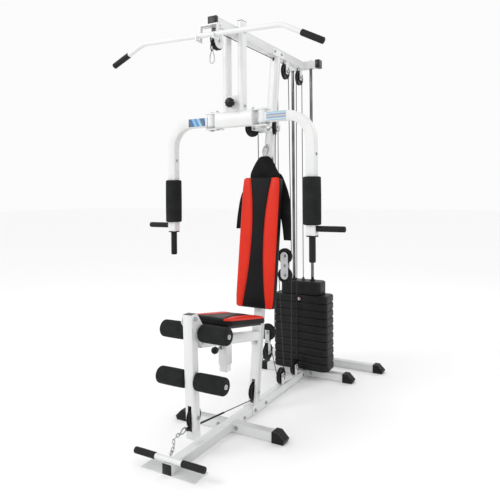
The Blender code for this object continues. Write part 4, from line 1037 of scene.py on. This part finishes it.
def cushion(name, node, body, place, length, half_width, thickness, panel, crown):
    """A tight pad on the plane given by place: black middle panel and sides, red flanks, seams and a welt.
    half_width, thickness and panel are functions of the share of the length."""
    rows = 72
    count = len(pad_columns(1.0, 0.5))
    bm = bmesh.new()
    bmesh.ops.create_grid(bm, x_segments=count - 1, y_segments=rows, size=0.5)
    ordered = sorted(bm.verts, key=lambda v: (round(v.co.y, 5), round(v.co.x, 5)))
    even = [row / rows for row in range(rows + 1)]
    shares = sorted(0.5 - 0.5 * math.cos(math.pi * t) if t < 0.08 or t > 0.92 else t for t in even)
    for row, t in enumerate(shares):
        end = min(t, 1 - t) * length
        half = eased(half_width(t), end, PAD_CORNER)
        inner = red_from(panel(t), half)
        for column, u in enumerate(pad_columns(half, inner)):
            crowned = thickness(t) + crown * (1 - (u / half) ** 2) * (1 - (2 * t - 1) ** 8)
            height = pad_height(u, half, inner, crowned, min(half - abs(u), end))
            height += 0.0007 * noise.noise(Vector((u * 18, t * length * 9, 3.7)))
            ordered[row * count + column].co = Vector((u, t * length, height))
    for face in bm.faces:
        centre = face.calc_center_median()
        t = centre.y / length
        face.material_index = 1 if abs(centre.x) < red_from(panel(t), half_width(t)) else 0
    pad_sides(bm, length, thickness)
    bmesh.ops.recalc_face_normals(bm, faces=bm.faces)
    bmesh.ops.transform(bm, matrix=place, verts=bm.verts)
    made = piece(name, bm, [RED, BLACK_CLOTH], body, node, 60)

    def stitch_end(side, row, t):
        u = side * (panel(t) + row * 0.0058)
        crowned = thickness(t) + crown * (1 - (u / half_width(t)) ** 2)
        return place @ Vector((u, t * length, crowned + 0.0008))

    bm = bmesh.new()
    count = int(length / 0.0065)
    for side in (-1, 1):
        for row in (-1, 1):
            for step in range(3, count - 2):
                start = stitch_end(side, row, (step + 0.5) / count)
                end = stitch_end(side, row, (step + 0.9) / count)
                turn = (end - start).to_track_quat("Z", "Y").to_matrix().to_4x4()
                size = Matrix.Diagonal((0.0007, 0.0007, 0.0034, 1))
                bmesh.ops.create_cube(
                    bm, size=1.0, matrix=Matrix.Translation((start + end) / 2) @ turn @ size
                )
    piece(name + "_stitching", bm, STITCH, body)
    line = []
    for sign, order in ((1, shares), (-1, shares[::-1])):
        for t in order:
            half = eased(half_width(t), min(t, 1 - t) * length, PAD_CORNER)
            line.append(place @ Vector((sign * (half + 0.0002), t * length, thickness(t) - PAD_ROLL)))
    bm = bmesh.new()
    wire(bm, line, 0.0019, 3, cyclic=True)
    piece(name + "_welt", bm, BLACK_CLOTH, body)


def plane(origin, along, normal):
    """The placing of a shape that is drawn flat, with its length along y and its top facing z."""
    along, normal = Vector(along).normalized(), Vector(normal).normalized()
    side = along.cross(normal)
    return Matrix.Translation(origin) @ Matrix((side, along, normal)).transposed().to_4x4()


def make_back_pad():
    def waist(t):
        return 0.0385 + (0.165 if t > 0.57 else 0.116) * (t - 0.57) ** 2

    place = plane(at(0, 0.8209, 0.580), (0, LEAN, 1), (0, -1, LEAN))
    cushion(
        "back_pad_cushion", "back_pad", "frame", place, 0.741,
        lambda t: 0.120, lambda t: 0.0420 + 0.0083 * t, waist, 0.004,
    )
    skin("back_board", BOARD)
    spots = []
    for z in (0.72, 1.20):
        for x in (-0.060, 0.060):
            spots.append((at(x, upright_face(z) - 0.0003, z), Vector((0, 1, -LEAN)), 0.005))
    bolts("back_board_bolts", "frame", spots)


def make_seat():
    def waist(t):
        return 0.050 + 0.14 * (t - 0.62) ** 2

    place = plane(at(0, 0.3135, 0.5927), (0, 1, -SEAT_SLOPE), (0, SEAT_SLOPE, 1))
    cushion(
        "seat_pad_cushion", "seat_pad", "seat", place, 0.356,
        lambda t: 0.125 + 0.013 * t, lambda t: 0.0335, waist, 0.0035,
    )
    skin("seat_post", PLASTIC)
    edge = 0.0414 / 2 + 0.0002
    bm = bmesh.new()
    box(bm, at(-edge, SEAT_POST_Y - edge, 0.3178), at(edge, SEAT_POST_Y + edge, 0.352), 0.0008, 1)
    piece("seat_post_tip", bm, POWDER_COAT, "seat")
    # Thin dark discs on the post's front face: painted shade standing in for the shaded insides of its holes.
    bm = bmesh.new()
    for step in range(5):
        hole = at(0, SEAT_POST_Y - edge + 0.0001, 0.372 + 0.025 * step)
        lathe(bm, [(0, 0.0004), (0.0052, 0.0004), (0.0056, 0), (0, 0)], hole, -Y, 20)
    piece("seat_post_hole_shade", bm, RUBBER, "seat")
    spots = []
    for x in (-0.035, 0.035):
        spots += [(at(x, SEAT_POST_Y + y, 0.5553 - SEAT_SLOPE * y), -Z, 0.0045) for y in (-0.045, 0.045)]
    bolts("seat_board_bolts", "seat", spots)


def quarter(radius, half, edge, steps):
    """The round edge of a foam tube's end, as a profile."""
    turns = [math.pi / 2 * step / steps for step in range(steps + 1)]
    return [(radius - edge + edge * math.sin(a), half - edge + edge * math.cos(a)) for a in turns]


def make_rollers():
    for hand, side in HANDS:
        for level, (y, z), near, far in (
            ("top", TOP_ROLLER, 0.034, 0.188), ("bottom", BOTTOM_ROLLER, 0.0285, 0.189)
        ):
            half, radius = (far - near) / 2, 0.041
            profile = [
                (0.0116, half - 0.004), *quarter(0.018, half, 0.002, 6)[:3], *quarter(radius, half, 0.012, 6)
            ]
            profile += [(radius + 0.0006, half * 0.55), (radius + 0.0009, 0), (radius + 0.0006, -half * 0.55)]
            profile += [(r, -h) for r, h in reversed(profile[:11])]
            bm = bmesh.new()
            lathe(bm, profile, at(side * (near + far) / 2, y, z), X, 56)
            node = f"{level}_roller_{hand}"
            made = piece(f"{level}_roller_foam_{hand}", bm, FOAM, node, node, 50)
    for level, (y, z), reach, body in (
        ("top", TOP_ROLLER, 0.190, "frame"), ("bottom", BOTTOM_ROLLER, 0.191, "leg_developer"),
    ):
        end = [(0.0092, reach - 0.003), (0.0094, reach - 0.0004), (0.0100, reach), (0.0108, reach - 0.0004)]
        bm = bmesh.new()
        lathe(bm, [*end, *[(r, -h) for r, h in reversed(end)]], at(0, y, z), X, 36)
        piece(f"{level}_roller_tube", bm, POWDER_COAT, body, f"{level}_roller_bar")


def make_arm_pads():
    half, radius = 0.120, 0.045
    for hand, side in HANDS:
        profile = [(0.0358, half - 0.0006), (0.0366, half), *quarter(radius, half, 0.007, 5)]
        profile += [(radius + 0.0006, half * 0.5), (radius + 0.0008, 0)]
        profile += [(r, -h) for r, h in reversed(profile[:-1])]
        bm = bmesh.new()
        lathe(bm, profile, at(side * ARM_X, ARM_Y, 1.188), Z, 64)
        made = piece(f"arm_pad_foam_{hand}", bm, FOAM, f"arm_{hand}", f"arm_pad_{hand}", 50)


make_back_pad()
make_seat()
make_rollers()
make_arm_pads()


# ---------------------------------------------------------------- hanging strap

def smooth_rows(rows, steps):
    """The rows of a ribbon with smooth ones between them."""
    padded = [rows[0], *rows, rows[-1]]
    out = []
    for around in zip(padded, padded[1:], padded[2:], padded[3:]):
        out += [[spline_point(*four, step / steps) for four in zip(*around)] for step in range(steps)]
    return [*out, rows[-1]]


def ribbon(bm, rows, columns):
    """A strip of cloth. A row is its height, its two edges, how far back it is and its middle's sag."""
    fresh = []
    for z, left, right, y, sag in rows:
        line = []
        for step in range(columns + 1):
            t = step / columns
            x = left + (right - left) * t
            bow = sag * math.sin(math.pi * t) + 0.0008 * noise.noise(Vector((x * 30, z * 22, 1.3)))
            line.append(bm.verts.new(at(x, y + bow, z)))
        fresh.append(line)
    for upper, lower in zip(fresh, fresh[1:]):
        for a, b, c, d in zip(upper, upper[1:], lower[1:], lower):
            bm.faces.new((a, b, c, d))


def strap_leg(drop):
    """Where a leg of the strap hangs: height, near edge and far edge. drop shortens it."""
    return [(1.20 + drop / 2, 0.078, 0.160), (1.06 + drop, 0.118, 0.178), (0.96 + drop, 0.138, 0.182)]


STRAP_LEGS = ((-1, 0.06), (1, 0.0))


def make_strap():
    """One piece of webbing cloth: a flap on the upright's hook, and two legs that go behind the back pad."""
    flap = []
    for z, left, right, out, sag in (
        (1.448, -0.038, 0.010, 0.0060, 0.0), (1.440, -0.050, 0.024, 0.0072, -0.001),
        (1.425, -0.062, 0.040, 0.0082, -0.002), (1.400, -0.077, 0.056, 0.0090, -0.002),
        (1.360, -0.096, 0.078, 0.0082, -0.0015), (1.345, -0.101, 0.090, 0.0075, -0.001),
        (1.326, -0.102, 0.096, 0.0068, 0.0), (1.317, -0.102, 0.097, 0.0060, 0.0),
    ):
        flap.append((z, left, right, upright_face(z) - out, sag))
    bm = bmesh.new()
    ribbon(bm, smooth_rows(flap, 5), 14)
    for side, drop in STRAP_LEGS:
        rows = [(1.346, 0.020, 0.085, upright_face(1.346) - 0.0040, 0.0)]
        rows.append((1.320, 0.036, 0.110, upright_face(1.320) + 0.0045, 0.0))
        rows += [(z, near, far, upright_face(z) + 0.0045, 0.0015) for z, near, far in strap_leg(drop)]
        placed = [(z, *sorted((side * near, side * far)), y, sag) for z, near, far, y, sag in rows]
        ribbon(bm, smooth_rows(placed, 7), 6)
    flat_area = sum(face.calc_area() for face in bm.faces)
    bmesh.ops.recalc_face_normals(bm, faces=bm.faces)
    made = piece("ab_strap_cloth", bm, WEBBING, "frame", "ab_strap", 60)
    cloth = made.modifiers.new("cloth", "SOLIDIFY")
    cloth.thickness = 0.0022
    cloth.offset = 0
    bm = bmesh.new()
    for side, drop in STRAP_LEGS:
        for inset in (0.004, 0.008):
            points = []
            for z, _, far in ((1.30, 0.048, 0.122), *strap_leg(drop)):
                points.append(at(side * (far - inset), upright_face(z) + 0.0045 - 0.0014, z))
            wire(bm, curved(points, 6), 0.0005, 1)
    seams = piece("ab_strap_seams", bm, STITCH, "frame")


def make_strap_hook():
    """The strap's long ring, and the small hook of the upright that it hangs from."""
    lean = Vector((-0.22, -0.03, -1)).normalized()
    across = Vector((1, 0, -0.22)).normalized()
    centre = at(-0.013, upright_face(1.478) - 0.0068, 1.478)
    ring = []
    for angle in loop_of(32):
        wide = 0.0145 + 0.0045 * math.cos(angle)
        ring.append(centre - lean * 0.0350 * math.cos(angle) + across * wide * math.sin(angle))
    bm = bmesh.new()
    wire(bm, ring, 0.0038, 5, cyclic=True)
    lathe(bm, rounded(0.0054, 0.012, 0.0012), centre - across * 0.0145, lean, 20)
    hook = []
    for foot, out, z in (
        (1.520, 0.001, 1.520), (1.516, 0.011, 1.515), (1.505, 0.015, 1.503), (1.497, 0.010, 1.4985),
        (1.500, 0.0045, 1.505),
    ):
        hook.append(at(-0.006, upright_face(foot) - out, z))
    wire(bm, curved(hook, 5), 0.0026, 4)
    piece("ab_strap_hook", bm, ZINC, "frame")


make_strap()
make_strap_hook()


# ---------------------------------------------------------------- press frame, arms and their grips

def make_press():
    skin("press_frame", POWDER_COAT)
    skin("press_axle", ZINC, 35)
    bm = bmesh.new()
    for side in (-1, 1):
        x = side * 0.047
        box(bm, at(x - 0.0148, 0.5723, 2.1345), at(x + 0.0148, 0.6217, 2.1385), 0.0012)
    piece("press_tube_plugs", bm, PLASTIC, "press_frame")
    bm = bmesh.new()
    for side in (-1, 1):
        low, high = sorted((side * 0.1110, side * 0.1150))
        box(bm, at(low, 0.5722, 1.5832), at(high, 0.6480, 1.6628), 0.0012)
    piece("crossbar_end_plates", bm, POWDER_COAT, "press_frame")
    spots = []
    for side in (-1, 1):
        spots.append((at(side * 0.0622, 0.597, 1.690), X * side, 0.005))
        spots.append((at(side * 0.1120, 0.597, 1.6692), Z, 0.0055, 0.004))
        spots.append((at(side * 0.1120, 0.597, 1.5769), -Z, 0.0055))
    bolts("press_bolts", "press_frame", spots)


def star_knob(name, body, place, profile, steps, lobes, lobe, reach, height):
    """A plastic knob with round lobes on its rim, facing the front. It stands in for its body's own node."""
    bm = bmesh.new()
    lathe(bm, profile, place, Y, steps)
    for step in range(lobes):
        turn = Matrix.Rotation(math.tau * step / lobes, 3, "Y")
        lathe(bm, lobe, place + turn @ Vector((reach, height, 0)), Y, 12)
    piece(name, bm, PLASTIC, body, body)


def make_lock_knob():
    """The knob in front of the press frame, with the pin behind it and the boss that the pin goes into."""
    place = at(0, 0.5265, 1.705)
    head = [(0, 0), (0.014, 0.0), (0.020, 0.003), (0.0235, 0.010), (0.0245, 0.017), (0.0225, 0.027)]
    head += [(0.0165, 0.035), (0.014, 0.043), (0, 0.043)]
    lobe = rounded(0.0032, 0.0105, 0.0025, 3)
    star_knob("lock_knob_head", "lock_knob", place, head, 40, 10, lobe, 0.0232, 0.017)
    bm = bmesh.new()
    lathe(bm, [(0, 0.04), (0.0058, 0.04), (0.0058, 0.093), (0.0048, 0.095), (0, 0.095)], place, Y, 28)
    piece("lock_knob_stem", bm, CHROME, "lock_knob")
    bm = bmesh.new()
    ring = [(0.0068, 0.0), (0.0125, 0.0), (0.0125, 0.006), (0.0095, 0.011), (0.0068, 0.011)]
    lathe(bm, ring, at(0, 0.5720, 1.705), -Y, 28)
    piece("lock_knob_boss", bm, ZINC, "press_frame")


def ribs(count, top, pitch, radius, rise, drops):
    """The profile of a grip's raised rings, from its top down. drops are where each ring is full, starts to
    fall and meets the grip again, below its own top."""
    start, end, foot = drops
    profile = []
    for step in range(count):
        z = top - pitch * step
        profile += [(radius, z), (radius + rise, z - start), (radius + rise, z - end), (radius, z - foot)]
    return profile


def make_arm_grips(hand, side):
    """The flanged grip below an arm's foam pad, and the handle that sticks out sideways above it."""
    body = f"arm_{hand}"
    flange = [(0.0, 0.0690), (0.0300, 0.0690), (0.0310, 0.0675), (0.0310, 0.0655), (0.0300, 0.0640)]
    flange += [(0.0180, 0.0635), (0.0170, 0.0600)]
    rings = ribs(17, 0.054, 0.0066, 0.0166, 0.0006, (0.0012, 0.0030, 0.0042))
    tip = [(0.0166, -0.0600), (0.0150, -0.0640), (0.0120, -0.0650), (0, -0.0650)]
    bm = bmesh.new()
    lathe(bm, [*flange, *rings, *tip], at(side * ARM_X, ARM_Y, 0.946), Z, 40)
    piece(f"arm_grip_rubber_{hand}", bm, GRIP, body, f"arm_grip_{hand}", 35)
    cap = [(0, 0.0733), (0.0115, 0.0733), (0.0143, 0.0710), (0.0148, 0.0660)]
    rings = ribs(15, 0.058, 0.0080, 0.0146, 0.0005, (0.0014, 0.0040, 0.0054))
    bm = bmesh.new()
    lathe(
        bm, [*cap, *rings, (0.0148, -0.0730), (0, -0.0730)], at(side * 0.52865, ARM_Y, 1.0495), X * side, 40
    )
    piece(f"side_handle_rubber_{hand}", bm, GRIP, body, f"side_handle_{hand}", 35)
    washer = [(0.0150, 0.002), (0.0210, 0.002), (0.0215, 0.0012), (0.0215, -0.0005), (0.0150, -0.0005)]
    bm = bmesh.new()
    lathe(bm, washer, at(side * 0.4556, ARM_Y, 1.0495), X * side, 32)
    piece(f"side_handle_washer_{hand}", bm, ZINC, body)


def make_arm_label(hand, side):
    """A plain striped band on the front of an arm: slanting stripes on one, level stripes on the other."""
    low, high = sorted((side * 0.190, side * 0.302))
    middle = at(side * 0.246, 0.5927, 1.623)
    if hand == "left":
        dark, blue, sky = (0.05, 0.06, 0.07), (0.03, 0.12, 0.30), (0.22, 0.45, 0.68)
        stripes = [dark, (0.10, 0.13, 0.18), blue, sky, (0.06, 0.20, 0.44), (0.30, 0.52, 0.72)]
        label = striped("plain_stripes_left", [*stripes, *stripes[1:4]], middle, (1, 0, 0.5), 0.060)
    else:
        teal, blue, sand = (0.22, 0.42, 0.52), (0.16, 0.28, 0.50), (0.62, 0.50, 0.36)
        stripes = [teal, (0.52, 0.62, 0.66), blue, sand, blue, (0.48, 0.60, 0.66), teal]
        label = striped("plain_stripes_right", stripes, middle, (0, 0, 1), 0.022)
    bm = bmesh.new()
    box(bm, at(low, 0.5923, 1.6010), at(high, 0.5931, 1.6450), 0.0002, 1)
    piece(f"arm_label_{hand}", bm, label, f"arm_{hand}")


def make_arms():
    for hand, side in HANDS:
        skin(f"hinge_pin_{hand}", ZINC, 35)
        skin(f"butterfly_arm_{hand}", POWDER_COAT, 40)
        half = [(0.0281, 0.004), (0.0335, 0.004), (0.0335, 0.0025), (0.0310, 0.0015)]
        bm = bmesh.new()
        lathe(bm, [*half, *[(r, -h) for r, h in reversed(half)]], at(side * 0.160, ARM_Y, ARM_RING_Z), Z, 48)
        piece(f"arm_cable_ring_{hand}", bm, ZINC, f"arm_{hand}")
        make_arm_grips(hand, side)
        spots = [
            (at(side * 0.4552, ARM_Y, 1.42), X * side, 0.0045),
            (at(side * 0.4048, ARM_Y, 1.42), -X * side, 0.0045),
        ]
        bolts(f"arm_bolts_{hand}", f"arm_{hand}", spots)
        make_arm_label(hand, side)


make_press()
make_lock_knob()
make_arms()


# ---------------------------------------------------------------- seat support and leg developer

def make_leg_developer():
    skin("seat_support", POWDER_COAT)
    skin("leg_arm", POWDER_COAT)
    skin("leg_pivot_pin", ZINC, 35)
    bm = bmesh.new()
    y, half = 0.1776, 0.0226
    box(bm, at(-half, y - half, 0.6655), at(half, y + half, 0.6688), 0.0008)
    piece("leg_arm_top_plug", bm, PLASTIC, "leg_developer")
    bm = bmesh.new()
    y, half = 0.2051 - 0.0412 * 0.094, 0.0252
    box(bm, at(-half, y - half, 0.0865), at(half, y + half, 0.0965), 0.004, 3)
    piece("leg_arm_foot", bm, POWDER_COAT, "leg_developer")
    spots = []
    for side in (-1, 1):
        spots.append((LEG + X * side * 0.0292, X * side, 0.0055, 0.002))
        spots.append((at(side * 0.0252, 0.190, 0.393), X * side, 0.0045))
    bolts("leg_bolts", "leg_developer", spots)
    bolts(
        "seat_support_bolts", "frame",
        [(at(side * 0.0297, 0.240, 0.525), X * side, 0.0050) for side in (-1, 1)],
    )


def make_seat_pin():
    """The sprung pin that holds the seat's height: knob, shank and boss."""
    low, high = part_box("seat_pin")
    place = Vector((0, low.y, (low.z + high.z) / 2))
    head = [(0, 0), (0.010, 0.0), (0.015, 0.002), (0.0175, 0.008), (0.0175, 0.016), (0.0150, 0.024)]
    head += [(0.0110, 0.031), (0, 0.031)]
    lobe = rounded(0.0024, 0.0085, 0.002, 3)
    star_knob("seat_pin_knob", "seat_pin", place, head, 36, 8, lobe, 0.0160, 0.012)
    bm = bmesh.new()
    lathe(bm, [(0, 0.030), (0.0056, 0.030), (0.0056, 0.084), (0.0046, 0.0858), (0, 0.0858)], place, Y, 24)
    piece("seat_pin_stem", bm, CHROME, "seat_pin")
    bm = bmesh.new()
    ring = [(0.0066, 0.0), (0.0115, 0.0), (0.0115, 0.014), (0.0095, 0.018), (0.0066, 0.018)]
    lathe(bm, ring, at(0, 0.4562, 0.446), -Y, 28)
    piece("seat_pin_boss", bm, ZINC, "frame")


make_leg_developer()
make_seat_pin()


# ---------------------------------------------------------------- bars, hooks and chain

def ringed_grip(name, start, first, last, tip, radius, steps, body):
    """A rubber grip with fine rings from first to last. tip gives places and shares of the radius."""
    line = [(*start, 0.90)]
    for step in range(steps + 1):
        line.append((*first.lerp(last, step / steps), 1.0 if step % 3 else 0.955))
    line += [(*place, share) for place, share in tip]
    bm = bmesh.new()
    wire(bm, line, radius, 10)
    piece(name, bm, GRIP, body, angle=50)


def make_lat_bar():
    """The wide bar on its hooks, with its ends bent down. It lies a little tilted, as a bar on hooks does."""
    half, out, drop, grip, bend = 0.406, 0.206, 0.099, 0.118, 0.028
    slope = math.atan2(drop, out)
    along = Vector((math.cos(slope), 0, -math.sin(slope)))
    corner = Vector((half, 0, 0))
    end = corner + along * math.hypot(out, drop)
    side = []
    for step in range(17):
        t = step / 16
        side.append(Vector((half - bend + bend * t, 0, 0)).lerp(corner + along * bend * t, t))
    side.append(end - along * 0.002)
    roll = Matrix.Translation(at(0.003, 0.336, 2.005)) @ Matrix.Rotation(math.radians(2.1), 4, "Y")
    bm = bmesh.new()
    mirrored = [Vector((-place.x, place.y, place.z)) for place in reversed(side)]
    wire(bm, [roll @ place for place in mirrored + side], 0.0125, 12)
    piece("lat_bar_tube", bm, POWDER_COAT, "lat_bar", "lat_bar", 60)
    for hand, sign in HANDS:
        def spot(back):
            place = end - along * back
            return roll @ Vector((sign * place.x, place.y, place.z))

        first, last = spot(grip - 0.0015), spot(0.0045)
        tip = [(spot(0.002), 0.97), (spot(0.0005), 0.80)]
        ringed_grip(f"lat_bar_grip_{hand}", spot(grip), first, last, tip, 0.0155, 60, "lat_bar")


LOW_BAR_EYE = at(0, 0.0345, 0.0855)


def make_low_bar():
    """The short straight bar on the floor plate, with the eye that its chain starts from."""
    bar = at(0, 0.0165, 0.0635)
    bm = bmesh.new()
    wire(bm, [bar - X * 0.188, bar, bar + X * 0.188], 0.0125, 12)
    piece("low_bar_tube", bm, POWDER_COAT, "low_bar", "low_bar", 60)
    for hand, sign in HANDS:
        start, first, last = [bar + X * sign * out for out in (0.0730, 0.0745, 0.1890)]
        tip = [(bar + X * sign * 0.1905, 0.93), (bar + X * sign * 0.1912, 0.8)]
        ringed_grip(f"low_bar_grip_{hand}", start, first, last, tip, 0.0152, 48, "low_bar")
    bm = bmesh.new()
    wire(bm, [at(0, 0.020, 0.0690), at(0, 0.026, 0.0755)], 0.0045, 4)
    ring = [LOW_BAR_EYE + 0.0085 * Vector((0, math.cos(a), math.sin(a))) for a in loop_of(24)]
    wire(bm, ring, 0.0032, 5, cyclic=True)
    piece("low_bar_eye", bm, ZINC, "low_bar")


def make_chain():
    """Short welded links from the low bar's eye, each turned across the one before."""
    route = [LOW_BAR_EYE + Vector((0, 0.003, 0.004)), at(0.004, 0.046, 0.112), at(-0.004, 0.058, 0.130)]
    path = curved([*route, at(0, 0.078, 0.1425), at(0, 0.104, 0.1475)], 40)
    pitch, half, length, walked = 0.0170, 0.0062, 0.0044, 0.0
    links = []
    for before, after in zip(path, path[1:]):
        walked += (after - before).length
        if walked >= pitch * (len(links) + 0.5):
            links.append(((before + after) / 2, (after - before).normalized()))
    bm = bmesh.new()
    for index, (centre, heading) in enumerate(links):
        roll = Matrix.Rotation(math.radians(45 + 90 * (index % 2)), 3, "X")
        turn = heading.to_track_quat("X", "Z").to_matrix() @ roll
        loop = []
        for angle in loop_of(20):
            stretch = math.copysign(length, math.cos(angle)) if abs(math.cos(angle)) > 1e-6 else 0
            loop.append(centre + turn @ Vector((half * math.cos(angle) + stretch, half * math.sin(angle), 0)))
        wire(bm, loop, 0.0022, 3, cyclic=True)
    piece("low_bar_chain_links", bm, ZINC, "low_bar", "low_bar_chain")


def make_low_snap_hook():
    """The snap hook at the chain's end, and the rubber stop on the leg cable."""
    centre = at(0, 0.1250, 0.1475)
    loop = []
    for angle in loop_of(32):
        wide = 0.0105 * (1 + 0.25 * math.cos(angle))
        loop.append(
            centre + Vector((0, -0.0235 * math.cos(angle), wide * math.sin(angle) - 0.002 * math.cos(angle)))
        )
    bm = bmesh.new()
    wire(bm, loop, 0.0029, 4, cyclic=True)
    lathe(bm, rounded(0.0042, 0.010, 0.001), centre + Vector((0, 0.002, 0.0108)), Vector((0, 1, -0.05)), 16)
    piece("low_bar_snap_hook", bm, CHROME, "low_bar")
    toward = Vector((0, 0.9936, -0.113)).normalized()
    place = LEG + Vector((0, -0.0050, -0.0441)) - toward * 0.0440
    half = [(0.0027, 0.0115), (0.0060, 0.0110), (0.0085, 0.0070)]
    bm = bmesh.new()
    lathe(bm, [*half, (0.0092, 0.0), *[(r, -h) for r, h in reversed(half)]], place, toward, 28)
    piece("leg_cable_stop", bm, RUBBER, "low_bar_link", "low_bar_carabiner", 50)


def make_lat_hooks():
    """The snap hook and the pear-shaped link that hang from the lat cable."""
    top = at(0, 0.3806, 1.9590)
    loop = []
    for angle in loop_of(32):
        wide = 0.0095 * (1 - 0.2 * math.sin(angle))
        loop.append(top + Vector((0, wide * math.cos(angle), 0.0220 * math.sin(angle))))
    bm = bmesh.new()
    wire(bm, loop, 0.0027, 5, cyclic=True)
    lathe(bm, rounded(0.0038, 0.0085, 0.001), top + Vector((0, 0.0094, 0.001)), Z, 16)
    swivel = [(0, 0.007), (0.0040, 0.007), (0.0052, 0.005), (0.0052, -0.003), (0.0035, -0.006), (0, -0.006)]
    lathe(bm, swivel, at(0, 0.3806, 1.9835), Z, 20)
    piece("lat_snap_hook", bm, PLASTIC, "frame", "lat_hook")
    centre = at(0, 0.3806, 1.9080)
    loop = []
    for angle in loop_of(36):
        wide = 0.0125 * (1 - 0.45 * math.sin(angle))
        loop.append(centre + Vector((wide * math.cos(angle), 0, 0.0325 * math.sin(angle))))
    bm = bmesh.new()
    wire(bm, loop, 0.0029, 5, cyclic=True)
    piece("lat_pear_link", bm, ZINC, "frame")


make_lat_bar()
make_low_bar()
make_chain()
make_low_snap_hook()
make_lat_hooks()
